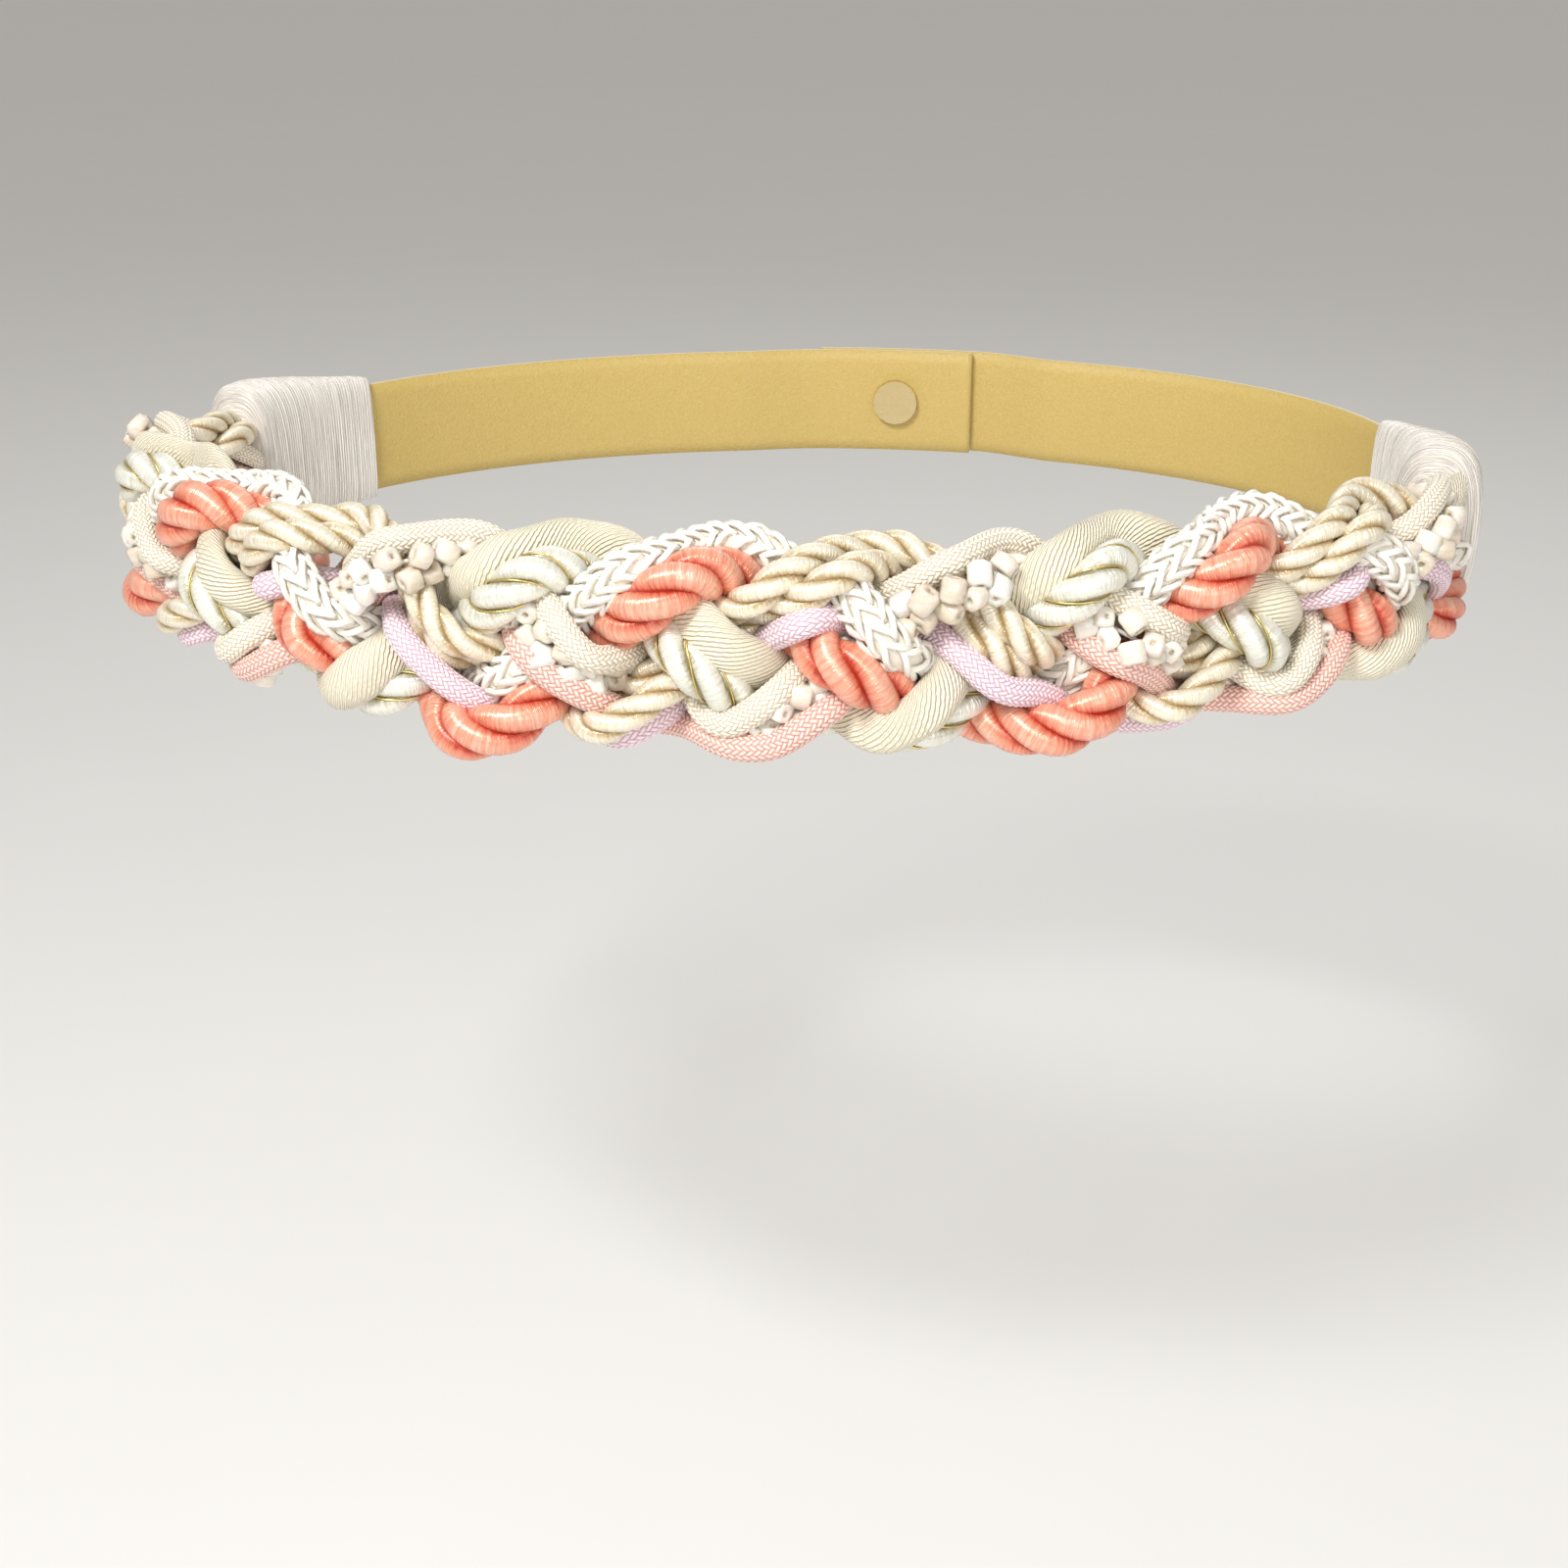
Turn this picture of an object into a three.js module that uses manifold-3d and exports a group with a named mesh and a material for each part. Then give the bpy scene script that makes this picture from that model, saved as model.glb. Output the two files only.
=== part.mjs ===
// A plaited rope belt, closed round a waist. Ten cords lie in four bundles that are plaited
// flat, the two ends of the plait are wound with satin thread, and a plain strap goes round
// the back, where its two overlapping ends are held by one stud.
// Millimetres, +Z up along the waist, the front of the belt faces -Y, origin in the middle of
// the waist. Along the belt, places are arc lengths on the waist line, counted from the front
// centre towards +X. Outward means away from the waist line.
import * as THREE from 'three';
import { mergeVertices } from 'three/addons/utils/BufferGeometryUtils.js';
import Module from 'manifold-3d';

// The waist that the belt closes round, an ellipse.
const waistHalfWidth = 148;
const waistHalfDepth = 99;

// The plait: its length and middle along the waist line, its width, the length of one whole
// plait, how far a bundle swings up and down, how far it rises over its neighbours, and the
// depth that the cords are pressed towards.
const plaitLength = 390;
const plaitMiddle = -27;
const plaitWidth = 42.5;
const plaitPitch = 112;
const bundleSwing = 10.5;
const bundleRise = 7;
const plaitDepthAim = 21;

// The cords press on each other, and a small clearance is left between their solids.
const cordClearance = 0.7;

// Each bundle's first top turn, as a share of the pitch from the front centre.
const bundles = { a: -0.18, c: 0.08, d: 0.32, b: 0.57 };

// The diameters of the cords.
const knitDiameter = 6.4;
const coralDiameter = 8.2;
const creamDiameter = 6.6;
const silverDiameter = 7.2;
const champagneDiameter = 5.3;
const braidDiameter = 4.6;
const beadDiameter = 4.8;

// Every cord, from the upper to the lower edge of its bundle.
const cords = [
  { name: 'knit_cord', bundle: 'a', diameter: knitDiameter, sides: 6, colour: 0xefe9dc },
  { name: 'coral_rope', bundle: 'a', diameter: coralDiameter, sides: 8, colour: 0xe8806a },
  { name: 'cream_tube', bundle: 'b', diameter: creamDiameter, sides: 6, colour: 0xf2e4bd },
  { name: 'silver_rope', bundle: 'b', diameter: silverDiameter, sides: 7, colour: 0xdedccb },
  { name: 'champagne_rope_upper', bundle: 'c', diameter: champagneDiameter, sides: 6, colour: 0xe9dcc0 },
  { name: 'champagne_rope_lower', bundle: 'c', diameter: champagneDiameter, sides: 6, colour: 0xe9dcc0 },
  { name: 'lilac_cord', bundle: 'c', diameter: braidDiameter, sides: 6, colour: 0xdcb9cb },
  { name: 'beige_cord', bundle: 'd', diameter: braidDiameter, sides: 6, colour: 0xdccbab },
  { name: 'bead_string', bundle: 'd', diameter: beadDiameter, sides: 6, colour: 0xf7f1e6 },
  { name: 'pink_cord', bundle: 'd', diameter: braidDiameter, sides: 6, colour: 0xe59f96 },
];
const cordRoughness = 0.5;

// The settling of the cords: the spacing of its nodes, its rounds, the share of its size that
// a cord starts with, the share of the rounds in which it swells to full size, and the share
// in which the width of the plait is held.
const nodeSpacing = 5;
const settleRounds = 500;
const thinShare = 0.2;
const swellingShare = 0.6;
const heldShare = 0.6;
const bundleSpread = 0.9;
const stiffness = 0.02;
const guidance = 0.02;
const flattening = 0.006;
const pushGain = 2;

// The plait narrows to its wound ends over this length, to this share of its section.
const gatherLength = 34;
const gatherShare = 0.82;

// The wound ends: their length, how far they stand out round the cords at the mouth, and the
// thread round the strap at the other end.
const windingLength = 38;
const windingMargin = 1.2;
const windingWall = 2.2;
const strapSeatDepth = 8;
const seatClearance = 0.3;

// The strap round the back, and the stud through its two overlapping ends.
const strapWidth = 30;
const strapThickness = 2.4;
const strapOverlap = 44;
const strapStandoff = 1.5;
const strapStep = 26;
const layerGap = 0.4;
const studHeadDiameter = 13;
const studHeadThickness = 1.8;
const studPostDiameter = 5;
const studHoleClearance = 0.3;
const strapRings = 24;

const wasm = await Module();
wasm.setup();

// The waist line as a table of equal angles, with the arc length to each.
const waistSteps = 1440;
const waistTable = [];
{
  let length = 0;
  let before = null;
  for (let k = 0; k <= waistSteps; k++) {
    const angle = (k / waistSteps) * 2 * Math.PI;
    const here = [waistHalfWidth * Math.sin(angle), -waistHalfDepth * Math.cos(angle)];
    if (before) length += Math.hypot(here[0] - before[0], here[1] - before[1]);
    waistTable.push({ angle, length });
    before = here;
  }
}
const waistLength = waistTable[waistSteps].length;

// The point at an arc length, with the outward direction and the direction along the belt.
function waistFrame(along) {
  const wanted = ((along % waistLength) + waistLength) % waistLength;
  let low = 0;
  let high = waistSteps;
  while (high - low > 1) {
    const middle = (low + high) >> 1;
    if (waistTable[middle].length > wanted) high = middle;
    else low = middle;
  }
  const span = waistTable[high].length - waistTable[low].length;
  const share = (wanted - waistTable[low].length) / span;
  const angle = THREE.MathUtils.lerp(waistTable[low].angle, waistTable[high].angle, share);
  const forward = new THREE.Vector3(
    waistHalfWidth * Math.cos(angle), waistHalfDepth * Math.sin(angle), 0).normalize();
  const outward = new THREE.Vector3(forward.y, -forward.x, 0);
  const point = new THREE.Vector3(
    waistHalfWidth * Math.sin(angle), -waistHalfDepth * Math.cos(angle), 0);
  return { point, outward, forward };
}

// A place on the belt from its arc length, its height and its distance outward.
function beltPoint(along, height, out) {
  const { point, outward } = waistFrame(along);
  return point.clone().addScaledVector(outward, out).setZ(height);
}

function smooth(share) {
  const t = Math.min(Math.max(share, 0), 1);
  return t * t * (3 - 2 * t);
}

// Turns a closed surface so that its faces point out, whichever way its rings were listed.
function faceOutward(positions, triangles) {
  let volume = 0;
  const [a, b, c] = [new THREE.Vector3(), new THREE.Vector3(), new THREE.Vector3()];
  for (let t = 0; t < triangles.length; t += 3) {
    a.fromArray(positions, 3 * triangles[t]);
    b.fromArray(positions, 3 * triangles[t + 1]);
    c.fromArray(positions, 3 * triangles[t + 2]);
    volume += a.dot(b.cross(c));
  }
  return volume < 0 ? triangles.reverse() : triangles;
}

// A closed solid through rings of equal length, with a flat fan at each end.
function loft(rings) {
  const sides = rings[0].length;
  const positions = [];
  const triangles = [];
  for (const ring of rings) for (const p of ring) positions.push(p.x, p.y, p.z);
  for (let k = 0; k + 1 < rings.length; k++) {
    for (let s = 0; s < sides; s++) {
      const next = (s + 1) % sides;
      const a = k * sides + s;
      const b = k * sides + next;
      triangles.push(a, b, a + sides, b, b + sides, a + sides);
    }
  }
  for (const [k, forwards] of [[0, false], [rings.length - 1, true]]) {
    const centre = new THREE.Vector3();
    for (const p of rings[k]) centre.addScaledVector(p, 1 / sides);
    const c = positions.length / 3;
    positions.push(centre.x, centre.y, centre.z);
    for (let s = 0; s < sides; s++) {
      const a = k * sides + s;
      const b = k * sides + ((s + 1) % sides);
      if (forwards) triangles.push(a, b, c);
      else triangles.push(b, a, c);
    }
  }
  const geometry = new THREE.BufferGeometry();
  geometry.setAttribute('position', new THREE.Float32BufferAttribute(positions, 3));
  geometry.setIndex(faceOutward(positions, triangles));
  return geometry;
}

// The free path of a bundle: it swings between the edges of the plait, over on its way down
// and under the bundles that it meets near the edges.
function bundlePath(bundle, along) {
  const phase = 2 * Math.PI * (along / plaitPitch - bundles[bundle]);
  return {
    v: bundleSwing * Math.cos(phase),
    w: -bundleRise * (0.207 * Math.sin(phase) + 1.207 * Math.sin(3 * phase)),
  };
}

// Where every cord would run if the cords were thin: side by side in its bundle.
function thinPaths(nodes) {
  const paths = [];
  for (const bundle of Object.keys(bundles)) {
    const members = cords.filter((cord) => cord.bundle === bundle);
    let edge = members.reduce((sum, cord) => sum + cord.diameter, 0) / 2;
    for (const cord of members) {
      const aside = (edge - cord.diameter / 2) * bundleSpread;
      edge -= cord.diameter;
      paths[cords.indexOf(cord)] = nodes.map((along) => {
        const slope = bundlePath(bundle, along + 0.5).v - bundlePath(bundle, along - 0.5).v;
        const path = bundlePath(bundle, along + aside * slope / Math.hypot(1, slope));
        return { v: path.v + aside / Math.hypot(1, slope), w: path.w };
      });
    }
  }
  return paths;
}

// The places that contact is looked for: the nodes of a path and the middles between them.
function contactPlaces(path) {
  const places = [];
  path.forEach((p, n) => {
    places.push(p);
    if (n + 1 < path.length) {
      places.push({ v: (p.v + path[n + 1].v) / 2, w: (p.w + path[n + 1].w) / 2 });
    }
  });
  return places;
}

// Gives a push at a contact place to its node, or to the two nodes on its sides.
function give(pushes, place, v, w) {
  const share = place % 2 === 0 ? 1 : 0.5;
  for (const node of new Set([place >> 1, (place + 1) >> 1])) {
    pushes[node].v += share * v;
    pushes[node].w += share * w;
    pushes[node].weight += share;
  }
}

// Pushes two cords apart wherever they are closer than their reach.
function pushApart(first, second, firstPushes, secondPushes, reach) {
  const step = nodeSpacing / 2;
  const steps = Math.ceil(reach / step);
  for (let n = 0; n < first.length; n++) {
    for (let m = Math.max(0, n - steps); m <= Math.min(first.length - 1, n + steps); m++) {
      const flat = reach * reach - ((m - n) * step) ** 2;
      const dv = second[m].v - first[n].v;
      const dw = second[m].w - first[n].w;
      if (dv * dv + dw * dw >= flat) continue;
      const apart = Math.hypot(dv, dw) + 1e-6;
      const share = (Math.sqrt(flat) / apart - 1) / 2;
      give(firstPushes, n, -share * dv, -share * dw);
      give(secondPushes, m, share * dv, share * dw);
    }
  }
}

// Keeps a cord stiff and draws it in, so that it packs against its neighbours.
function drawIn(path, free, radius, firmness, held) {
  const last = path.length - 1;
  const bend = path.map((p, n) => (n === 0 || n === last ? { v: 0, w: 0 } : {
    v: path[n + 1].v - 2 * p.v + path[n - 1].v,
    w: path[n + 1].w - 2 * p.w + path[n - 1].w,
  }));
  for (let n = 0; n <= last; n++) {
    const p = path[n];
    if (n > 0 && n < last) {
      p.v += firmness * stiffness * (3 * bend[n].v - bend[n + 1].v - bend[n - 1].v);
      p.w += firmness * stiffness * (3 * bend[n].w - bend[n + 1].w - bend[n - 1].w);
    }
    p.v += firmness * guidance * (free[n].v - p.v);
    p.w *= 1 - flattening * firmness;
    const tooHigh = Math.abs(p.v) - (plaitWidth / 2 - radius);
    if (tooHigh > 0) p.v -= Math.sign(p.v) * tooHigh * 0.3 * Math.max(firmness, held);
    const tooDeep = Math.abs(p.w) - (plaitDepthAim / 2 - radius);
    if (tooDeep > 0) p.w -= Math.sign(p.w) * tooDeep * 0.3 * firmness;
  }
}

// Moves a path by its pushes, each shared a little with the nodes next to it.
function movePath(path, pushes) {
  const last = path.length - 1;
  for (const axis of ['v', 'w']) {
    const moves = pushes.map((push) => pushGain * push[axis] / (push.weight + 0.3));
    path.forEach((p, n) => {
      p[axis] += moves[n] / 2 + (moves[Math.max(0, n - 1)] + moves[Math.min(last, n + 1)]) / 4;
    });
  }
}

// Settles the cords: they start thin on their free paths and swell to full size, pushing
// each other apart, while each stays stiff and is drawn in. In the last rounds they only push.
function settle(nodes) {
  const free = thinPaths(nodes);
  const paths = free.map((path) => path.map((p) => ({ ...p })));
  for (let round = 0; round < settleRounds; round++) {
    const share = round / settleRounds;
    const size = Math.min(1, thinShare + (1 - thinShare) * share / swellingShare);
    const late = Math.max(0, (share - swellingShare) / (1 - swellingShare));
    const firmness = Math.max(0, 1 - 1.25 * late);
    const held = share < heldShare ? 0.2 : 0;
    cords.forEach((cord, c) => drawIn(paths[c], free[c], cord.diameter / 2, firmness, held));
    for (let pass = 0; pass < 2; pass++) {
      const places = paths.map(contactPlaces);
      const pushes = paths.map((path) => path.map(() => ({ v: 0, w: 0, weight: 0 })));
      for (let i = 0; i < cords.length; i++) {
        for (let j = i + 1; j < cords.length; j++) {
          const reach = size * ((cords[i].diameter + cords[j].diameter) / 2 + cordClearance);
          pushApart(places[i], places[j], pushes[i], pushes[j], reach);
        }
      }
      paths.forEach((path, c) => movePath(path, pushes[c]));
    }
  }
  return paths;
}

const plaitStart = plaitMiddle - plaitLength / 2;
const plaitEnd = plaitMiddle + plaitLength / 2;
const nodeCount = Math.round(plaitLength / nodeSpacing);
const nodes = Array.from({ length: nodeCount + 1 },
  (_, n) => plaitStart + n * plaitLength / nodeCount);
const settled = settle(nodes);

// The settled plait's own half width, and its two faces.
let plaitHalf = 0;
let innerFace = Infinity;
let outerFace = -Infinity;
cords.forEach((cord, c) => settled[c].forEach((p) => {
  plaitHalf = Math.max(plaitHalf, Math.abs(p.v) + cord.diameter / 2);
  innerFace = Math.min(innerFace, p.w - cord.diameter / 2);
  outerFace = Math.max(outerFace, p.w + cord.diameter / 2);
}));
const plaitDepth = outerFace - innerFace;

// How much of its full section the plait keeps at a place along it.
function gathering(along) {
  const inside = Math.min(along - plaitStart, plaitEnd - along);
  return THREE.MathUtils.lerp(gatherShare, 1, smooth(inside / gatherLength));
}

function cordSolid(cord, path) {
  const places = nodes.map((along, n) => {
    const share = gathering(along);
    return beltPoint(along, share * path[n].v, share * (path[n].w - innerFace));
  });
  const last = nodes.length - 1;
  const rings = nodes.map((along, n) => {
    const { outward, forward } = waistFrame(along);
    const direction = n === 0 || n === last
      ? forward.clone()
      : places[n + 1].clone().sub(places[n - 1]).normalize();
    const across = outward.clone().addScaledVector(direction, -outward.dot(direction)).normalize();
    const upward = direction.clone().cross(across);
    const radius = gathering(along) * cord.diameter / 2;
    return Array.from({ length: cord.sides }, (_, s) => {
      const angle = (s / cord.sides) * 2 * Math.PI;
      return places[n].clone()
        .addScaledVector(across, radius * Math.cos(angle))
        .addScaledVector(upward, radius * Math.sin(angle));
    });
  });
  return loft(rings);
}

// A ring with rounded ends or corners, in the plane across the belt at an arc length. Power 2
// is an ellipse, and a higher power is squarer.
function crossRing(along, centreOut, width, depth, power, sides) {
  const ring = [];
  for (let s = 0; s < sides; s++) {
    const angle = ((s + 0.5) / sides) * 2 * Math.PI;
    const c = Math.cos(angle);
    const n = Math.sin(angle);
    const stretch = (Math.abs(c) ** power + Math.abs(n) ** power) ** (-1 / power);
    ring.push(beltPoint(along, width / 2 * n * stretch, centreOut + depth / 2 * c * stretch));
  }
  return ring;
}

// A wound end: it hugs the gathered cords at its mouth and the strap at its other end, where
// the strap goes into a seat. Direction is 1 where the strap leads on towards +X.
function windingSolid(mouth, direction) {
  const mouthWidth = gatherShare * 2 * plaitHalf + 2 * windingMargin;
  const mouthDepth = gatherShare * plaitDepth + windingMargin;
  const endWidth = strapWidth + 2 * windingWall;
  const endDepth = strapStandoff + strapThickness + windingWall;
  const shape = [
    { length: 0, flare: 0.8, power: 2.6 },
    { length: 0.05, flare: 0.9, power: 2.6 },
    { length: 0.2, flare: 0.88, power: 2.7 },
    { length: 0.45, flare: 0.62, power: 3 },
    { length: 0.75, flare: 0.25, power: 3.6 },
    { length: 0.97, flare: 0.04, power: 4 },
    { length: 1, flare: -0.04, power: 4 },
  ];
  const sides = 20;
  const rings = shape.map(({ length, flare, power }) => {
    const width = THREE.MathUtils.lerp(endWidth, mouthWidth, flare);
    const depth = THREE.MathUtils.lerp(endDepth, mouthDepth, flare);
    return crossRing(mouth + direction * length * windingLength, depth / 2, width, depth, power, sides);
  });
  const seatWidth = strapWidth + 2 * seatClearance;
  const seatHeight = strapThickness + 2 * seatClearance;
  const strapMiddle = strapStandoff + strapThickness / 2;
  const seatPower = 40;
  for (const share of [1, 1 - strapSeatDepth / windingLength]) {
    const along = mouth + direction * share * windingLength;
    rings.push(crossRing(along, strapMiddle, seatWidth, seatHeight, seatPower, sides));
  }
  return loft(rings);
}

// A strap as a strip of rectangular sections, from its seat to its free end.
function strapSolid(from, to, outAt) {
  const rings = [];
  for (let k = 0; k <= strapRings; k++) {
    const along = THREE.MathUtils.lerp(from, to, k / strapRings);
    const out = outAt(along);
    rings.push([
      beltPoint(along, -strapWidth / 2, out),
      beltPoint(along, -strapWidth / 2, out + strapThickness),
      beltPoint(along, strapWidth / 2, out + strapThickness),
      beltPoint(along, strapWidth / 2, out),
    ]);
  }
  return loft(rings);
}

function toManifold(geometry) {
  const bare = geometry.clone();
  bare.deleteAttribute('normal');
  bare.deleteAttribute('uv');
  const merged = mergeVertices(bare, 1e-4);
  return new wasm.Manifold(new wasm.Mesh({
    numProp: 3,
    vertProperties: new Float32Array(merged.attributes.position.array),
    triVerts: new Uint32Array(merged.index.array),
  }));
}

function fromManifold(solid) {
  const mesh = solid.getMesh();
  const geometry = new THREE.BufferGeometry();
  geometry.setAttribute('position', new THREE.BufferAttribute(mesh.vertProperties.slice(), 3));
  geometry.setIndex(new THREE.BufferAttribute(mesh.triVerts.slice(), 1));
  return geometry;
}

// Turns a shape made round Z so that it stands outward on the belt at an arc length.
function standOutward(geometry, along, out) {
  const { outward, forward } = waistFrame(along);
  const up = new THREE.Vector3(0, 0, 1);
  const turn = new THREE.Matrix4().makeBasis(forward, up, outward.clone());
  turn.setPosition(beltPoint(along, 0, out));
  return geometry.clone().applyMatrix4(turn);
}

const belt = new THREE.Group();

function add(name, geometry, colour, roughness, metalness = 0) {
  const material = new THREE.MeshStandardMaterial({ color: colour, roughness, metalness });
  const mesh = new THREE.Mesh(geometry, material);
  mesh.name = name;
  belt.add(mesh);
}

cords.forEach((cord, c) => add(cord.name, cordSolid(cord, settled[c]), cord.colour, cordRoughness));

const windingColour = 0xf6f0e6;
const rightMouth = plaitEnd + seatClearance;
const leftMouth = plaitStart - seatClearance;
add('winding_left', windingSolid(leftMouth, -1), windingColour, 0.4);
add('winding_right', windingSolid(rightMouth, 1), windingColour, 0.4);

// The stud stands opposite the middle of the plait. The left strap lies next to the waist
// there and the right strap steps out over it.
const studAlong = plaitMiddle + waistLength / 2;
const seatInset = windingLength - strapSeatDepth + seatClearance;
const rightStart = rightMouth + seatInset;
const leftStart = leftMouth - seatInset + waistLength;
const studRest = strapStandoff + studHeadThickness + layerGap;
const overlapStart = studAlong - strapOverlap / 2;
const overlapEnd = studAlong + strapOverlap / 2;

// The inner face of each strap: on the standoff, and raised over what lies under it.
function leftOut(along) {
  const raised = smooth((strapStep + overlapEnd - along) / strapStep);
  return strapStandoff + raised * (studRest - strapStandoff);
}
function rightOut(along) {
  const raised = smooth((along - (overlapStart - strapStep)) / strapStep);
  const over = studRest + strapThickness + layerGap;
  return strapStandoff + raised * (over - strapStandoff);
}

const studHole = standOutward(
  new THREE.CylinderGeometry(
    studPostDiameter / 2 + studHoleClearance, studPostDiameter / 2 + studHoleClearance,
    6 * studHeadDiameter, 16)
    .rotateX(Math.PI / 2), studAlong, 0);
const leftStrap = strapSolid(leftStart, overlapStart, leftOut);
const rightStrap = strapSolid(rightStart, overlapEnd, rightOut);
const strapColour = 0xead9a4;
add('strap_left', fromManifold(toManifold(leftStrap).subtract(toManifold(studHole))), strapColour, 0.6);
add('strap_right', fromManifold(toManifold(rightStrap).subtract(toManifold(studHole))), strapColour, 0.6);

// The stud: a foot inside, a post through both straps, and a head outside.
const headRest = studRest + 2 * strapThickness + 2 * layerGap;
const studProfile = [
  [0, strapStandoff],
  [studHeadDiameter / 2, strapStandoff],
  [studHeadDiameter / 2, strapStandoff + studHeadThickness],
  [studPostDiameter / 2, strapStandoff + studHeadThickness],
  [studPostDiameter / 2, headRest],
  [studHeadDiameter / 2, headRest],
  [studHeadDiameter / 2, headRest + studHeadThickness * 0.6],
  [studHeadDiameter / 2 * 0.8, headRest + studHeadThickness],
  [0, headRest + studHeadThickness],
].map(([radius, height]) => new THREE.Vector2(radius, height));
const stud = new THREE.LatheGeometry(studProfile, 16).rotateX(Math.PI / 2);
add('back_stud', standOutward(stud, studAlong, 0), 0xd8c48a, 0.3, 1);

export default belt;
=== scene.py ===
# %% [markdown]
# # A plaited rope belt
#
# Ten soft cords lie in four bundles that are plaited flat: a white crochet cord with a thick
# coral rope, a cream twill tube with a silvery rope, two champagne ropes with a lilac braid,
# and a beige braid with a string of shell beads and a salmon pink braid. Both ends of the plait
# are wound with satin thread, and a plain strap closes the belt round the back.
#
# Everything is in the frame of the CAD model: +Z up along the waist, the front of the belt
# faces -Y, and the origin is in the middle of the waist. Shapes are worked out in millimetres,
# and become metres when a mesh is made of them.

# %% The solids of the belt
import math

import bpy
import numpy as np
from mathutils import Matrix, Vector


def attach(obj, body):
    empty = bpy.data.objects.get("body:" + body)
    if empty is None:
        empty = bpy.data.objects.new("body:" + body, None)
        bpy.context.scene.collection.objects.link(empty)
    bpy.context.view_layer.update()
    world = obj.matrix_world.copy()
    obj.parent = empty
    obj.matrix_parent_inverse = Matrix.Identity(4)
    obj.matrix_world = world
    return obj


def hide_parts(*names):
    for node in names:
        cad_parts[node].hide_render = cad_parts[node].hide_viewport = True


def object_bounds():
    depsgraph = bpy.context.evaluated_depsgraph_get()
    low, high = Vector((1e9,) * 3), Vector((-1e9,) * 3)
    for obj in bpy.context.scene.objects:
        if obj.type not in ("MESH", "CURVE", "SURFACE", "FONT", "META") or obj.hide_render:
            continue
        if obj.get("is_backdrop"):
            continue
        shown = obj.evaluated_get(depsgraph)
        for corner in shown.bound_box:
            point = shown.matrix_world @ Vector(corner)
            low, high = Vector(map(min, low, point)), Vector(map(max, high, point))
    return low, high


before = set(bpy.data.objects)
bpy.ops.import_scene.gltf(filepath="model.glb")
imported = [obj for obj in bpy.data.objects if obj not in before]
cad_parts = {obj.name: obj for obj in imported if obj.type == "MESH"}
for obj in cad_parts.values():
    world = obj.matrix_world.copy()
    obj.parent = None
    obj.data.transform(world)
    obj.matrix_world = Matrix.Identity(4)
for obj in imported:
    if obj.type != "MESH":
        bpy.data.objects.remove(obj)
cad_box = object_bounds()
print(f"{len(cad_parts)} solids, in a box of {np.round(cad_box, 4).tolist()} m")

# %% [markdown]
# ## The waist line
#
# The belt closes round a waist, which is wider than it is deep, so its inner line is taken as an
# ellipse. The arc length of an ellipse has no closed form. It could be integrated at each place,
# but it is quicker to sum it once over 1440 equal angles and to read it back by interpolation.
# A place along the belt is then an arc length, counted from the front centre towards +X.

# %% The waist line
WAIST_HALF_WIDTH = 148.0
WAIST_HALF_DEPTH = 99.0
OUTLINE_STEPS = 1440
ANGLES = np.linspace(0, 2 * np.pi, OUTLINE_STEPS + 1)
OUTLINE = np.stack(
    [WAIST_HALF_WIDTH * np.sin(ANGLES), -WAIST_HALF_DEPTH * np.cos(ANGLES)], axis=-1
)
LENGTHS = np.concatenate(
    [[0], np.cumsum(np.linalg.norm(np.diff(OUTLINE, axis=0), axis=1))]
)
WAIST_LENGTH = LENGTHS[-1]
print(f"the waist line is {WAIST_LENGTH:.1f} mm long")

# %% [markdown]
# ## Places on the belt
#
# A cord, a winding and a strap all follow the waist line, at some height and some way out from
# it. So each of them is given by three numbers, and one function turns these into a point.
# Outward is away from the waist, at right angles to the line.

# %% Places on the belt
def waist_frame(along):
    """Points of the waist line at arc lengths, and the directions outward from them.

    The line is p(t) = (a sin t, -b cos t), its forward direction is p'(t) / |p'(t)|, and the
    outward direction is that turned by -90 degrees."""
    t = np.interp(np.mod(along, WAIST_LENGTH), LENGTHS, ANGLES)
    zero = np.zeros_like(t)
    point = np.stack([WAIST_HALF_WIDTH * np.sin(t), -WAIST_HALF_DEPTH * np.cos(t), zero], -1)
    forward = np.stack([WAIST_HALF_WIDTH * np.cos(t), WAIST_HALF_DEPTH * np.sin(t), zero], -1)
    forward /= np.linalg.norm(forward, axis=-1, keepdims=True)
    return point, np.stack([forward[..., 1], -forward[..., 0], zero], -1)


def belt_point(along, height, out):
    """p(along) + out * outward + height * z, in millimetres."""
    point, outward = waist_frame(along)
    place = point + outward * np.asarray(out)[..., None]
    place[..., 2] = height
    return place


print(f"the front centre of the waist line is at {belt_point(0.0, 0.0, 0.0).tolist()} mm")

# %% [markdown]
# ## Four bundles
#
# In a flat plait of four, a bundle swings from edge to edge. It goes over the bundle that it
# meets in the middle on its way down, and over its two neighbours near the edges on its way up.
# The paths could be drawn by hand, but the plait repeats, so each bundle has one wave with its
# own share of the pitch. The shares were matched to the photograph, by the places where the
# bundles come up to the edges.

# %% Four bundles
PLAIT_LENGTH = 390.0
PLAIT_MIDDLE = -27.0
PLAIT_PITCH = 112.0
BUNDLE_SWING = 10.5
BUNDLE_RISE = 7.0
RISE_ONCE = 0.207
RISE_THRICE = 1.207
BUNDLES = {"a": -0.18, "c": 0.08, "d": 0.32, "b": 0.57}
PLAIT_START = PLAIT_MIDDLE - PLAIT_LENGTH / 2
PLAIT_END = PLAIT_MIDDLE + PLAIT_LENGTH / 2
NODE_SPACING = 5.0
NODES = np.linspace(PLAIT_START, PLAIT_END, round(PLAIT_LENGTH / NODE_SPACING) + 1)


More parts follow.
